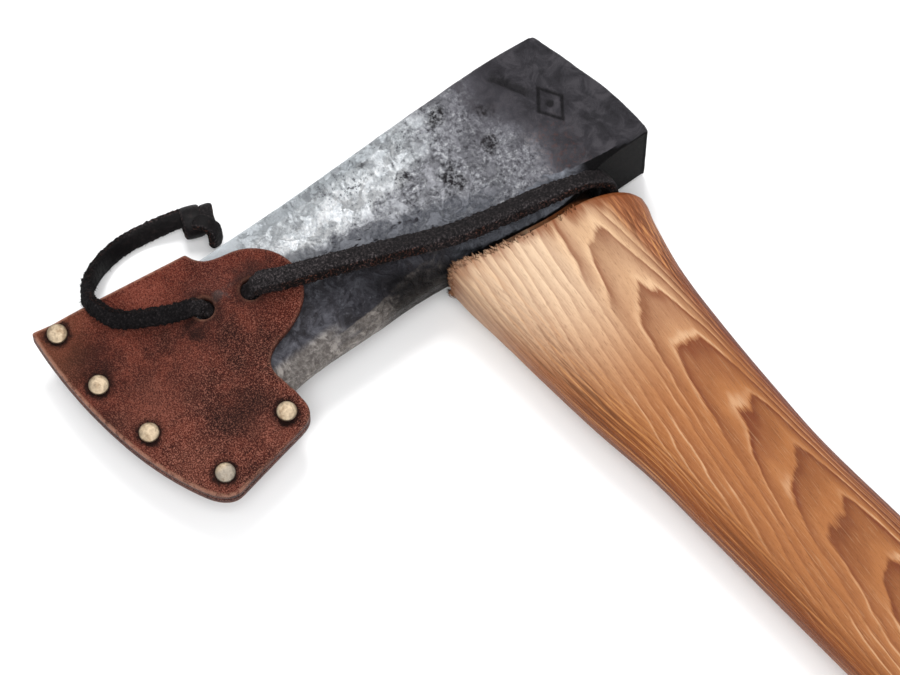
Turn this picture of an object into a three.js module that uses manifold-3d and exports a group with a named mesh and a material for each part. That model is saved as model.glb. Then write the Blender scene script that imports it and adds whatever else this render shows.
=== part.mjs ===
// Small splitting hatchet with a leather blade sheath laced on, lying on its side.
// Design frame, in millimetres: origin at the centre of the head's eye, +X down the
// handle, +Y towards the poll, +Z out of the upper cheek. At the end the whole is moved
// so that the origin lies on the floor under its middle.
import * as THREE from "three";
import { mergeVertices } from "three/addons/utils/BufferGeometryUtils.js";
import Module from "manifold-3d";

const wasm = await Module();
wasm.setup();

// ---- driving dimensions --------------------------------------------------------------
const GAP = 0.3; // between pieces that touch
const FLOOR_Z = -16.7; // the hatchet lies on the floor here, on the lace under the head

// head: a wedge between the hammer face and the cutting edge
const POLL_TOP = [-18.6, 26.6]; // corners of the head's outline, x and y
const POLL_BOTTOM = [20.9, 36.0];
const EDGE_Y = -117.7; // of the cutting edge at the toe
const EDGE_CURVE = 23.1; // how far it has curved back at the heel
const HEAD_STEPS = 32; // from poll to edge
const CHEEK_STEPS = [4, 3, 2]; // from crown to ridge, to corner, to underside
// along the head, from 0 at the poll to 1 at the edge: position of the crown line, of the
// underside line, of the ridge between them, how far the lower corner stands back from the
// underside, and the half thickness at each of the four
const CROWN_X = [
  [0, -18.6], [0.1, -20.2], [0.22, -21.1], [0.5, -21.4], [0.68, -22.4], [0.85, -23.8], [1, -26.5],
];
const UNDER_X = [
  [0, 20.9], [0.1, 20.9], [0.14, 21.6], [0.19, 23.2], [0.245, 23.6], [0.317, 22.3], [0.375, 20.9],
  [0.43, 20.2], [0.5, 19.7], [0.56, 19.5], [0.66, 19.7], [0.76, 19.9], [0.86, 21.4], [0.94, 24.2],
  [1, 27],
];
const CORNER_BACK = [
  [0, 0.6], [0.3, 0.6], [0.375, 0.9], [0.405, 3.0], [0.43, 6.2], [0.5, 5.6], [0.56, 4.3],
  [0.6, 3.3], [0.7, 3.3], [0.78, 2.7], [0.86, 2.4], [0.94, 1.6], [1, 0.4],
];
const RIDGE_X = [
  [0, 19.6], [0.1, 19.4], [0.3, 15.6], [0.4, 13.2], [0.48, 9.5], [0.58, 4.5], [0.68, 0], [1, -2],
];
const CROWN_HALF = [
  [0, 15.1], [0.1, 15.0], [0.2, 14.3], [0.3, 13.3], [0.4, 12.0], [0.48, 10.7], [0.58, 8.6],
  [0.68, 6.5], [0.78, 4.6], [0.87, 3.1], [0.95, 1.7], [1, 0.25],
];
const RIDGE_HALF = [
  [0, 15.75], [0.1, 15.7], [0.2, 14.9], [0.3, 13.9], [0.4, 12.7], [0.48, 11.4], [0.58, 9.3],
  [0.68, 7.1], [0.78, 5.2], [0.87, 3.6], [0.95, 2.0], [1, 0.25],
];
const CORNER_HALF = [
  [0, 15.3], [0.1, 15.1], [0.2, 11.8], [0.3, 10.9], [0.375, 10.4], [0.43, 10.2], [0.5, 9.2],
  [0.56, 8.2], [0.62, 7.1], [0.7, 5.4], [0.78, 3.7], [0.86, 2.5], [0.94, 1.6], [1, 0.25],
];
const UNDER_HALF = [
  [0, 14.7], [0.1, 14.5], [0.2, 11.2], [0.3, 10.3], [0.375, 9.4], [0.405, 7.0], [0.43, 5.4],
  [0.5, 3.6], [0.62, 2.8], [0.7, 2.3], [0.78, 1.7], [0.86, 1.3], [0.94, 0.9], [1, 0.25],
];

// eye and the handle's tongue in it
const EYE_BACK = 17.5; // y of the eye's end nearest the poll
const EYE_FRONT = -24.5;
const EYE_HALF = 9.4; // half width across the cheeks
const TONGUE_TOP_X = -22.2; // stands a little proud of the crown
// the wooden wedge, and the steel one driven across it
const WOOD_WEDGE = { half: 13, topThick: 4.2, tipThick: 1.2, depth: 28, turnDeg: 0 };
const STEEL_WEDGE = { half: 7.5, topThick: 2, tipThick: 0.67, depth: 11, turnDeg: 62 };

// handle: distance down the handle, centre line, half width and half thickness
const HANDLE_STATIONS = [
  [27, -0.9, 27.6, 13.4], [33, -0.6, 27.2, 13.5], [40, -0.4, 25.9, 13.3], [55, -0.5, 24.0, 12.7],
  [75, 0.9, 22.4, 12.1], [96, 3.3, 20.6, 11.7], [115, 5.1, 19.9, 11.6], [145, 9.0, 20.0, 11.9],
  [173, 12.6, 19.9, 12.4], [210, 16.6, 19.2, 13.0], [255, 20.0, 18.2, 13.3], [300, 21.2, 17.5, 13.2],
  [345, 20.2, 17.2, 13.0], [385, 17.2, 17.8, 13.2], [420, 12.9, 19.6, 13.8], [445, 9.2, 21.6, 14.4],
  [462, 7.0, 22.3, 14.6], [472, 6.2, 21.2, 13.9], [478, 6.0, 18.4, 12.0],
];
const SHOULDER = 27; // distance down the handle where its section at the shoulder is taken
const HANDLE_SIDES = 32;
// the section is a superellipse: its power against the distance down the handle
const OVAL_POWER = [[27, 4], [45, 3.1], [75, 2.5], [110, 2.35]];
// the shoulder's end face is bent: its distance down the handle against y
const SHOULDER_X = [
  [-30, 20.6], [-26.5, 20.9], [-19, 22.0], [-9, 24.4], [0, 26.0], [7.5, 26.0], [14, 26.5],
  [20.5, 28.0], [24.5, 29.8], [28, 32.0],
];

// sheath
const LEATHER = 3.0;
const POCKET_CLEARANCE = 0.4; // between the blade and the leather
const PANEL_STEP = 3.4; // grid step of the bent leather
const MARGIN_START = 0.9; // the panels begin to close this far from the blade's underside
const MARGIN_FADE = 3.2;
const HOLE_TAIL = [-9.0, -87.5]; // lace holes in each panel
const HOLE_STRETCH = [-5.6, -74.5];
const LACE_HOLE_RADIUS = 2.9;
const RIVETS = [[-28.3, -121.9], [-9.9, -121.2], [8.9, -118.0], [29.8, -108.1], [25.7, -85.3]];
const RIVET_HEAD_RADIUS = 2.75;
const RIVET_HEAD_HEIGHT = 1.1;
const POST_RADIUS = 1.35; // hollow post on the back half
const STUD_RADIUS = 0.7; // solid stud under the front cap

// lace
const LACE_RADIUS = 1.4;
const THREAD_RADIUS = 1.1; // where it is pressed flat under the leather
const LACE_SIDES = 8;
const BULGE_HEIGHT = 2.7; // the leather stands up over the lace

// ---- small tools ---------------------------------------------------------------------
const mix = (a, b, t) => a + (b - a) * t;
const clamp01 = (t) => Math.min(1, Math.max(0, t));
const smooth = (t) => clamp01(t) ** 2 * (3 - 2 * clamp01(t));

// a smooth curve through [position, value] pairs, flat beyond its ends
function profile(pairs) {
  const tangent = (i) => {
    const a = pairs[Math.max(0, i - 1)];
    const b = pairs[Math.min(pairs.length - 1, i + 1)];
    return (b[1] - a[1]) / (b[0] - a[0]);
  };
  return (s) => {
    const last = pairs.length - 1;
    if (s <= pairs[0][0]) return pairs[0][1];
    if (s >= pairs[last][0]) return pairs[last][1];
    const i = pairs.findIndex((pair) => pair[0] > s) - 1;
    const span = pairs[i + 1][0] - pairs[i][0];
    const t = (s - pairs[i][0]) / span;
    return (
      (2 * t ** 3 - 3 * t ** 2 + 1) * pairs[i][1] +
      (t ** 3 - 2 * t ** 2 + t) * span * tangent(i) +
      (3 * t ** 2 - 2 * t ** 3) * pairs[i + 1][1] +
      (t ** 3 - t ** 2) * span * tangent(i + 1)
    );
  };
}

function geometryOf(points, triangles) {
  const geometry = new THREE.BufferGeometry();
  geometry.setAttribute("position", new THREE.Float32BufferAttribute(points.flat(), 3));
  const outward = volumeOf(points, triangles) > 0;
  geometry.setIndex(triangles.flatMap(([a, b, c]) => (outward ? [a, b, c] : [a, c, b])));
  return geometry;
}

function volumeOf(points, triangles) {
  let volume = 0;
  for (const [a, b, c] of triangles) {
    const [p, q, r] = [points[a], points[b], points[c]].map((point) => new THREE.Vector3(...point));
    volume += p.dot(q.cross(r)) / 6;
  }
  return volume;
}

// a closed solid between an upper and a lower grid of the same size
function slab(rows, columns, upper, lower) {
  const points = [];
  for (const side of [upper, lower]) {
    for (let i = 0; i <= rows; i++) {
      for (let j = 0; j <= columns; j++) points.push(side(i / rows, j / columns));
    }
  }
  const at = (side, i, j) => side * (rows + 1) * (columns + 1) + i * (columns + 1) + j;
  const triangles = [];
  const quad = (a, b, c, d) => triangles.push([a, b, c], [a, c, d]);
  for (let i = 0; i < rows; i++) {
    for (let j = 0; j < columns; j++) {
      quad(at(0, i, j), at(0, i + 1, j), at(0, i + 1, j + 1), at(0, i, j + 1));
      quad(at(1, i, j), at(1, i, j + 1), at(1, i + 1, j + 1), at(1, i + 1, j));
    }
    quad(at(0, i, 0), at(1, i, 0), at(1, i + 1, 0), at(0, i + 1, 0));
    quad(at(0, i, columns), at(0, i + 1, columns), at(1, i + 1, columns), at(1, i, columns));
  }
  for (let j = 0; j < columns; j++) {
    quad(at(0, 0, j), at(0, 0, j + 1), at(1, 0, j + 1), at(1, 0, j));
    quad(at(0, rows, j), at(1, rows, j), at(1, rows, j + 1), at(0, rows, j + 1));
  }
  return geometryOf(points, triangles);
}

// a closed solid through rings of points, with flat ends
function loft(rings) {
  const count = rings[0].length;
  const points = rings.flat();
  const triangles = [];
  for (let r = 0; r + 1 < rings.length; r++) {
    for (let k = 0; k < count; k++) {
      const [a, b] = [r * count + k, r * count + ((k + 1) % count)];
      triangles.push([a, b, b + count], [a, b + count, a + count]);
    }
  }
  const start = (rings.length - 1) * count;
  for (let k = 1; k + 1 < count; k++) triangles.push([0, k + 1, k], [start, start + k, start + k + 1]);
  return geometryOf(points, triangles);
}

function solidOf(geometry) {
  const bare = geometry.clone();
  bare.deleteAttribute("normal");
  bare.deleteAttribute("uv");
  const merged = mergeVertices(bare, 1e-4);
  return new wasm.Manifold(
    new wasm.Mesh({
      numProp: 3,
      vertProperties: new Float32Array(merged.attributes.position.array),
      triVerts: new Uint32Array(merged.index.array),
    })
  );
}

function geometryOfSolid(solid) {
  const mesh = solid.getMesh();
  const geometry = new THREE.BufferGeometry();
  geometry.setAttribute("position", new THREE.BufferAttribute(new Float32Array(mesh.vertProperties), 3));
  geometry.setIndex(new THREE.BufferAttribute(new Uint32Array(mesh.triVerts), 1));
  return geometry;
}

// a prism of a shape drawn in x and y, between two heights
function prism(shape, low, high, curveSegments = 8) {
  const settings = { depth: high - low, bevelEnabled: false, curveSegments };
  return new THREE.ExtrudeGeometry(shape, settings).translate(0, 0, low);
}

function discShape(radius, x = 0, y = 0) {
  return new THREE.Shape().absarc(x, y, radius, 0, Math.PI * 2);
}

// ---- materials -----------------------------------------------------------------------
const standard = (color, roughness, metalness) =>
  new THREE.MeshStandardMaterial({ color, roughness, metalness });
const MATERIALS = {
  steel: standard(0x4a4d52, 0.45, 0.9),
  ash: standard(0xcfa06e, 0.55, 0),
  wedgeWood: standard(0xb98a58, 0.65, 0),
  brightSteel: standard(0x9a9a9a, 0.4, 1),
  leather: standard(0x7a3b28, 0.7, 0),
  brass: standard(0xc9b487, 0.35, 1),
  lace: standard(0x1f1715, 0.75, 0),
};

// ---- head ----------------------------------------------------------------------------
const head = {
  crownX: profile(CROWN_X),
  underX: profile(UNDER_X),
  ridgeX: profile(RIDGE_X),
  cornerBack: profile(CORNER_BACK),
  crownHalf: profile(CROWN_HALF),
  ridgeHalf: profile(RIDGE_HALF),
  cornerHalf: profile(CORNER_HALF),
  underHalf: profile(UNDER_HALF),
};

// the outline point u along the head (poll to edge) and v across it (crown to underside)
function headPlan(u, v) {
  const x = mix(head.crownX(u), head.underX(u), v);
  const pollY = mix(POLL_TOP[1], POLL_BOTTOM[1], (x - POLL_TOP[0]) / (POLL_BOTTOM[0] - POLL_TOP[0]));
  const edgeY = EDGE_Y + EDGE_CURVE * Math.max(0, v - 0.15) ** 3;
  return [x, mix(pollY, edgeY, u)];
}

// v of the ridge and of the lower corner
function headBreaks(u) {
  const width = head.underX(u) - head.crownX(u);
  return [(head.ridgeX(u) - head.crownX(u)) / width, 1 - head.cornerBack(u) / width];
}

// half thickness of the head there: flats that meet along the ridge and the lower corner
function headHalf(u, v) {
  const [ridge, corner] = headBreaks(u);
  const t = clamp01(v);
  if (t < ridge) return mix(head.crownHalf(u), head.ridgeHalf(u), Math.sqrt(t / ridge));
  if (t < corner) return mix(head.ridgeHalf(u), head.cornerHalf(u), (t - ridge) / (corner - ridge));
  return mix(head.cornerHalf(u), head.underHalf(u), (t - corner) / (1 - corner));
}

// u and v of a plan point, beyond 0 and 1 outside the outline
function headParameters(x, y) {
  let [u, v] = [0.7, 0.5];
  for (let pass = 0; pass < 12; pass++) {
    v = (x - head.crownX(u)) / (head.underX(u) - head.crownX(u));
    const start = headPlan(0, clamp01(v))[1];
    const end = headPlan(1, clamp01(v))[1];
    u = (y - start) / (end - start);
  }
  return [u, v];
}

function eyeShape(inset) {
  const half = EYE_HALF - inset;
  const back = EYE_BACK - inset;
  const front = EYE_FRONT + inset * 1.6;
  const shape = new THREE.Shape();
  shape.moveTo(front, 0);
  shape.bezierCurveTo(front, 0.55 * half, -14, half, 2, half);
  shape.bezierCurveTo(11, half, back, 0.8 * half, back, 0);
  shape.bezierCurveTo(back, -0.8 * half, 11, -half, 2, -half);
  shape.bezierCurveTo(-14, -half, front, -0.55 * half, front, 0);
  return shape;
}

// a shape drawn in y and z, extruded along x from one station to another
function extrudeAlongX(shape, from, to, curveSegments = 8) {
  const geometry = prism(shape, 0, to - from, curveSegments);
  // shape x -> y, shape y -> z, depth -> x
  geometry.applyMatrix4(new THREE.Matrix4().set(0, 0, 1, from, 1, 0, 0, 0, 0, 1, 0, 0, 0, 0, 0, 1));
  return geometry;
}

function makeHead() {
  const [upper, middle, lower] = CHEEK_STEPS;
  const steps = upper + middle + lower;
  // the grid's columns follow the ridge and the corner
  const across = (u, share) => {
    const [ridge, corner] = headBreaks(u);
    const column = share * steps;
    if (column <= upper) return mix(0, ridge, column / upper);
    if (column <= upper + middle) return mix(ridge, corner, (column - upper) / middle);
    return mix(corner, 1, (column - upper - middle) / lower);
  };
  const side = (sign) => (u, share) => {
    const v = across(u, share);
    return [...headPlan(u, v), sign * headHalf(u, v)];
  };
  const blank = solidOf(slab(HEAD_STEPS, steps, side(1), side(-1)));
  return geometryOfSolid(blank.subtract(solidOf(extrudeAlongX(eyeShape(0), -40, 40))));
}

// ---- handle --------------------------------------------------------------------------
const handleLine = {
  centre: profile(HANDLE_STATIONS.map(([x, centre]) => [x, centre])),
  half: profile(HANDLE_STATIONS.map(([x, , half]) => [x, half])),
  thick: profile(HANDLE_STATIONS.map(([x, , , thick]) => [x, thick])),
};
const ovalPower = profile(OVAL_POWER);
const shoulderX = profile(SHOULDER_X);

function handleRing(x, slanted) {
  const ring = [];
  for (let k = 0; k < HANDLE_SIDES; k++) {
    const angle = (2 * Math.PI * k) / HANDLE_SIDES;
    const [c, s] = [Math.cos(angle), Math.sin(angle)];
    const bend = 2 / ovalPower(x);
    const y = handleLine.centre(x) + handleLine.half(x) * Math.sign(c) * Math.abs(c) ** bend;
    const z = handleLine.thick(x) * Math.sign(s) * Math.abs(s) ** bend;
    ring.push([slanted ? shoulderX(y) : x, y, z]);
  }
  return ring;
}

function wedgeSolid({ half, topThick, tipThick, depth, turnDeg }, grow) {
  const shape = new THREE.Shape();
  const [top, tip] = [topThick / 2 + grow, tipThick / 2 + grow];
  shape.moveTo(TONGUE_TOP_X - 10 * grow, -top);
  shape.lineTo(TONGUE_TOP_X + depth + grow, -tip);
  shape.lineTo(TONGUE_TOP_X + depth + grow, tip);
  shape.lineTo(TONGUE_TOP_X - 10 * grow, top);
  const geometry = prism(shape, -half - grow, half + grow, 1);
  // the outline is drawn in x and z and its prism runs along y
  geometry.applyMatrix4(new THREE.Matrix4().set(1, 0, 0, 0, 0, 0, -1, 0, 0, 1, 0, 0, 0, 0, 0, 1));
  return geometry.rotateX(THREE.MathUtils.degToRad(turnDeg));
}

function makeHandle() {
  // one slanted ring at the shoulder, then square ones clear of it
  const stations = HANDLE_STATIONS.map(([x]) => x).filter((x) => x > 36);
  const rings = [handleRing(SHOULDER, true)];
  stations.forEach((station, i) => {
    if (i > 0 && station - stations[i - 1] > 20) {
      rings.push(handleRing(mix(stations[i - 1], station, 0.5), false));
    }
    rings.push(handleRing(station, false));
  });
  const body = solidOf(loft(rings));
  const tongue = solidOf(extrudeAlongX(eyeShape(GAP), TONGUE_TOP_X, 40));
  const whole = body.add(tongue);
  const kerfs = [WOOD_WEDGE, STEEL_WEDGE].map((wedge) => solidOf(wedgeSolid(wedge, GAP)));
  return geometryOfSolid(whole.subtract(kerfs[0]).subtract(kerfs[1]));
}

function makeWoodWedge() {
  const kerf = solidOf(wedgeSolid(STEEL_WEDGE, GAP));
  return geometryOfSolid(solidOf(wedgeSolid(WOOD_WEDGE, 0)).subtract(kerf));
}

// ---- sheath --------------------------------------------------------------------------
function sheathShape() {
  const shape = new THREE.Shape();
  shape.moveTo(-32.7, -127.3);
  shape.bezierCurveTo(-12, -129, 14, -125.5, 31.2, -115.2);
  shape.bezierCurveTo(34.5, -113.2, 36.9, -110.2, 36.3, -107.2);
  shape.lineTo(31.6, -84.6);
  shape.bezierCurveTo(30.6, -79.6, 27.6, -78.8, 23.3, -79.7);
  shape.lineTo(16.6, -81.6);
  shape.bezierCurveTo(11.6, -82.6, 9.6, -78.6, 8.8, -74.4);
  shape.bezierCurveTo(7.6, -67.8, 3.6, -61.0, -3.8, -61.0);
  shape.bezierCurveTo(-11, -61.0, -16.6, -66.6, -18.2, -71.9);
  shape.bezierCurveTo(-19.4, -76.2, -19.4, -80.6, -25.3, -82.2);
  shape.closePath();
  return shape;
}

// how far a plan point is from the lace's stretch between the two holes
function laceDistance(x, y) {
  const [ax, ay] = HOLE_TAIL;
  const [dx, dy] = [HOLE_STRETCH[0] - ax, HOLE_STRETCH[1] - ay];
  const t = clamp01(((x - ax) * dx + (y - ay) * dy) / (dx * dx + dy * dy));
  return Math.hypot(x - ax - t * dx, y - ay - t * dy);
}

// height of a panel's inner face over the middle plane: it follows the blade, closes
// beyond the heel and the edge, and stands up over the lace
function pocketHeight(x, y) {
  const [u, v] = headParameters(x, y);
  const along = Math.min(u, 1);
  const beyond = Math.max(0, x - head.underX(along) - MARGIN_START);
  const open = 1 - smooth(beyond / MARGIN_FADE);
  const bulge = BULGE_HEIGHT * (1 - smooth((laceDistance(x, y) - 2.6) / 9));
  const blade = (headHalf(along, v) + POCKET_CLEARANCE) * open * (1 - smooth((u - 1) * 30));
  return Math.max(GAP / 2, blade) + bulge;
}

function makePanel(sign) {
  const [low, high] = [[-38, -132], [40, -58]];
  const rows = Math.round((high[0] - low[0]) / PANEL_STEP);
  const columns = Math.round((high[1] - low[1]) / PANEL_STEP);
  const surface = (lift) => (s, t) => {
    const [x, y] = [mix(low[0], high[0], s), mix(low[1], high[1], t)];
    return [x, y, sign * (pocketHeight(x, y) + lift)];
  };
  const bent = solidOf(slab(rows, columns, surface(LEATHER), surface(0)));
  let panel = bent.intersect(solidOf(prism(sheathShape(), -40, 40, 7)));
  for (const [x, y] of RIVETS) {
    panel = panel.subtract(solidOf(prism(discShape(POST_RADIUS + GAP, x, y), -30, 30, 5)));
  }
  for (const [x, y] of [HOLE_TAIL, HOLE_STRETCH]) {
    panel = panel.subtract(solidOf(prism(discShape(LACE_HOLE_RADIUS, x, y), -30, 30, 5)));
  }
  return geometryOfSolid(panel);
}

// tallest the leather stands under a rivet head
function rivetSeat(x, y) {
  let seat = 0;
  for (let k = 0; k < 12; k++) {
    const angle = (k * Math.PI) / 6;
    const [dx, dy] = [Math.cos(angle) * RIVET_HEAD_RADIUS, Math.sin(angle) * RIVET_HEAD_RADIUS];
    seat = Math.max(seat, pocketHeight(x + dx, y + dy));
  }
  return Math.max(seat, pocketHeight(x, y)) + LEATHER + GAP;
}

// the front half of a rivet: a low dome with a stud
function makeRivetCap([x, y]) {
  const seat = rivetSeat(x, y);
  const profilePoints = [
    [0, seat - 2 * LEATHER],
    [STUD_RADIUS, seat - 2 * LEATHER],
    [STUD_RADIUS, seat],
    [RIVET_HEAD_RADIUS, seat],
    [RIVET_HEAD_RADIUS * 0.97, seat + RIVET_HEAD_HEIGHT * 0.45],
    [RIVET_HEAD_RADIUS * 0.7, seat + RIVET_HEAD_HEIGHT * 0.88],
    [0, seat + RIVET_HEAD_HEIGHT],
  ];
  return lathe(profilePoints).translate(x, y, 0);
}

// the back half: a flat cap with a hollow post that the stud is pressed into
function makeRivetPost([x, y]) {
  const seat = rivetSeat(x, y);
  const bore = STUD_RADIUS + 0.05;
  const profilePoints = [
    [0, -seat - RIVET_HEAD_HEIGHT * 0.8],
    [RIVET_HEAD_RADIUS * 0.8, -seat - RIVET_HEAD_HEIGHT * 0.8],
    [RIVET_HEAD_RADIUS, -seat - RIVET_HEAD_HEIGHT * 0.3],
    [RIVET_HEAD_RADIUS, -seat],
    [POST_RADIUS, -seat],
    [POST_RADIUS, seat - GAP],
    [bore, seat - GAP],
    [bore, -seat],
    [0, -seat],
  ];
  return lathe(profilePoints).translate(x, y, 0);
}

// a lathe about the z axis, from [radius, z] pairs
function lathe(pairs, sides = 12) {
  const geometry = new THREE.LatheGeometry(pairs.map(([r, z]) => new THREE.Vector2(r, z)), sides);
  return geometryOfSolid(solidOf(geometry.rotateX(Math.PI / 2)));
}

// ---- lace ----------------------------------------------------------------------------
// a round tube through points, cut square at both ends
function tube(points, radius, step = 7) {
  const places = points.map((point) => new THREE.Vector3(...point));
  const curve = new THREE.CatmullRomCurve3(places, false, "centripetal");
  const section = new THREE.Shape();
  for (let k = 0; k <= LACE_SIDES; k++) {
    const angle = (2 * Math.PI * k) / LACE_SIDES;
    const [x, y] = [radius * Math.cos(angle), radius * Math.sin(angle)];
    if (k === 0) section.moveTo(x, y);
    else if (k < LACE_SIDES) section.lineTo(x, y);
  }
  section.closePath();
  const steps = Math.max(3, Math.round(curve.getLength() / step));
  return new THREE.ExtrudeGeometry(section, { steps, extrudePath: curve, bevelEnabled: false });
}

// the panel's outer face over a plan point
const outerFace = (x, y) => pocketHeight(x, y) + LEATHER;
const mirrored = (points) => points.map(([x, y, z]) => [x, y, -z]);

// the lace passes a hole on a slant, towards where it goes outside
const STRETCH_WAY = [0.36, 0.93];
const TAIL_WAY = [-0.47, -0.88];
const atHole = ([x, y], [wayX, wayY], along, lift) => {
  return [x + wayX * along, y + wayY * along, outerFace(x, y) + lift];
};

// from the hole nearer the poll, over the cheek and round behind the handle
const STRETCH = [
  atHole(HOLE_STRETCH, STRETCH_WAY, 2.6, 2.1),
  [-3.0, -67.6, 14.2],
  [-0.6, -61.6, 14.3],
  [3.9, -49.2, 14.5],
  [9.0, -36.3, 14.75],
  [14.2, -22.6, 15.0],
  [17.2, -10.0, 15.3],
  [20.2, 4.6, 15.1],
  [22.6, 14.0, 14.7],
];
const WRAP = [
  [23.0, 16.4, 14.7],
  [24.2, 20.4, 11.9],
  [24.6, 22.0, 6.0],
  [24.7, 22.4, 0],
];

// from hole to hole between the leather and the blade, and up through both
function threadPoints() {
  const pocket = ([x, y], [wayX, wayY], along) => {
    const [px, py] = [x + wayX * along, y + wayY * along];
    return [px, py, pocketHeight(px, py) - THREAD_RADIUS - 0.35];
  };
  return [
    atHole(HOLE_STRETCH, STRETCH_WAY, 1.3, 0.9),
    atHole(HOLE_STRETCH, STRETCH_WAY, -0.4, -2.4),
    pocket(HOLE_STRETCH, STRETCH_WAY, -3.4),
    pocket(HOLE_TAIL, TAIL_WAY, -3.4),
    atHole(HOLE_TAIL, TAIL_WAY, -0.4, -2.4),
    atHole(HOLE_TAIL, TAIL_WAY, 1.3, 0.9),
  ];
}

// from the other hole over the toe side of the sheath and down to the floor
const TAIL = [
  atHole(HOLE_TAIL, TAIL_WAY, 2.6, 2.1),
  [-12.9, -94.8, 11.4],
  [-16.2, -101.0, 9.5],
  [-20.6, -106.2, 8.5],
  [-26.0, -109.6, 8.3],
  [-31.0, -110.8, 7.5],
  [-35.0, -109.4, 2.8],
  [-38.6, -105.8, -3.4],
  [-41.2, -100.4, -9.2],
  [-42.8, -94.0, -13.6],
  [-43.4, -87.0, FLOOR_Z + 1.6],
  [-42.4, -79.0, FLOOR_Z + 1.6],
];
const TAIL_KNOT = [-40.4, -69.4, FLOOR_Z + 4.9];
const TAIL_KNOT_RADIUS = 4.8;
const TAIL_KNOT_LENGTH = 10.5;
const TAIL_KNOT_TURN_DEG = -78;
const STOPPER_RADIUS = 4.2;
const STOPPER_HEIGHT = 3.3;
const STOPPER_LIFT = 1.45; // over the leather round the hole

// an overhand knot's outer shape: a barrel with a waist, its axis along z
function knotBarrel(radius, length) {
  const pairs = [[0, -length / 2], [radius * 0.7, -length / 2], [radius, -length * 0.22]];
  pairs.push([radius * 0.86, 0], [radius, length * 0.22], [radius * 0.7, length / 2], [0, length / 2]);
  return lathe(pairs, 12);
}

function makeTailKnot() {
  const barrel = knotBarrel(TAIL_KNOT_RADIUS, TAIL_KNOT_LENGTH).rotateX(Math.PI / 2);
  return barrel.rotateZ(THREE.MathUtils.degToRad(90 + TAIL_KNOT_TURN_DEG)).translate(...TAIL_KNOT);
}

function makeStopperKnot() {
  const [x, y] = HOLE_TAIL;
  const centre = outerFace(x, y) + STOPPER_LIFT + STOPPER_HEIGHT / 2;
  return knotBarrel(STOPPER_RADIUS, STOPPER_HEIGHT).translate(x, y, -centre);
}

// ---- assembly ------------------------------------------------------------------------
const hatchet = new THREE.Group();

function addMesh(name, geometry, material) {
  const mesh = new THREE.Mesh(geometry, material);
  mesh.name = name;
  hatchet.add(mesh);
}

addMesh("head", makeHead(), MATERIALS.steel);
addMesh("handle", makeHandle(), MATERIALS.ash);
addMesh("eye_wedge", makeWoodWedge(), MATERIALS.wedgeWood);
addMesh("steel_wedge", wedgeSolid(STEEL_WEDGE, 0), MATERIALS.brightSteel);
addMesh("sheath_front_panel", makePanel(1), MATERIALS.leather);
addMesh("sheath_back_panel", makePanel(-1), MATERIALS.leather);
RIVETS.forEach((place, i) => {
  addMesh(`rivet_${i + 1}_cap`, makeRivetCap(place), MATERIALS.brass);
  addMesh(`rivet_${i + 1}_post`, makeRivetPost(place), MATERIALS.brass);
});
const thread = threadPoints();
const wrap = [...WRAP, ...mirrored(WRAP.slice(0, -1)).reverse()];
addMesh("lace_front_thread", tube(thread, THREAD_RADIUS, 3), MATERIALS.lace);
addMesh("lace_back_thread", tube(mirrored(thread), THREAD_RADIUS, 3), MATERIALS.lace);
addMesh("lace_front_stretch", tube(STRETCH, LACE_RADIUS), MATERIALS.lace);
addMesh("lace_back_stretch", tube(mirrored(STRETCH), LACE_RADIUS), MATERIALS.lace);
addMesh("lace_wrap", tube(wrap, LACE_RADIUS, 4), MATERIALS.lace);
addMesh("lace_tail", tube(TAIL, LACE_RADIUS), MATERIALS.lace);
addMesh("lace_tail_knot", makeTailKnot(), MATERIALS.lace);
addMesh("lace_stopper_knot", makeStopperKnot(), MATERIALS.lace);

// the origin goes to the floor under the middle of everything but the lace's free end
const body = new THREE.Box3();
for (const mesh of hatchet.children) {
  if (!mesh.name.startsWith("lace_tail")) body.expandByObject(mesh, true);
}
const middle = body.getCenter(new THREE.Vector3());
hatchet.position.set(-middle.x, -middle.y, -body.min.z);

export default hatchet;
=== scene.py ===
"""A small splitting hatchet with a laced leather sheath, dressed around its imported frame.

Shapes are worked out in the design frame, in millimetres: origin at the centre of the
head's eye, +X down the handle, +Y towards the poll, +Z out of the upper cheek. They are
moved into the row frame, in metres, when a mesh is made. Every mesh keeps its design
coordinates in the attribute "design", which the procedural materials read.
"""

import math

import bmesh
import bpy
import numpy as np
from mathutils import Matrix, Vector, geometry, noise


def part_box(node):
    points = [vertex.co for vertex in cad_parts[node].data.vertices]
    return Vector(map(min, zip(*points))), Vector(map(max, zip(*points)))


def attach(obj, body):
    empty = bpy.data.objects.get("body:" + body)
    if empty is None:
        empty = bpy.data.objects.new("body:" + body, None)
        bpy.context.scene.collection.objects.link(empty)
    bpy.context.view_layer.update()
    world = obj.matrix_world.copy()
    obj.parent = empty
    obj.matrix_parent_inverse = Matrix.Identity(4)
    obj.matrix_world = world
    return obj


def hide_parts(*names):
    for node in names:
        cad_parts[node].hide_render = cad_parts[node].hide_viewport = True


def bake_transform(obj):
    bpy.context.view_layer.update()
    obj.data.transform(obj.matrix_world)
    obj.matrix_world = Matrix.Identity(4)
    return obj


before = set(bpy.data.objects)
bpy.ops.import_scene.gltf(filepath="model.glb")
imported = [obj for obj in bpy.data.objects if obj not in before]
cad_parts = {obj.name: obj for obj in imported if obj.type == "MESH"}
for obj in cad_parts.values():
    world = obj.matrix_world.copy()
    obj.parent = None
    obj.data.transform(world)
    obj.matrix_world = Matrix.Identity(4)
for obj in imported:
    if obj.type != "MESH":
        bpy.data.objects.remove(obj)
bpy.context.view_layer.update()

MM = 0.001
HEAD_LOWEST_X = -26.5  # the bit's toe, in the design frame
wedge_low, wedge_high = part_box("eye_wedge")
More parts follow.
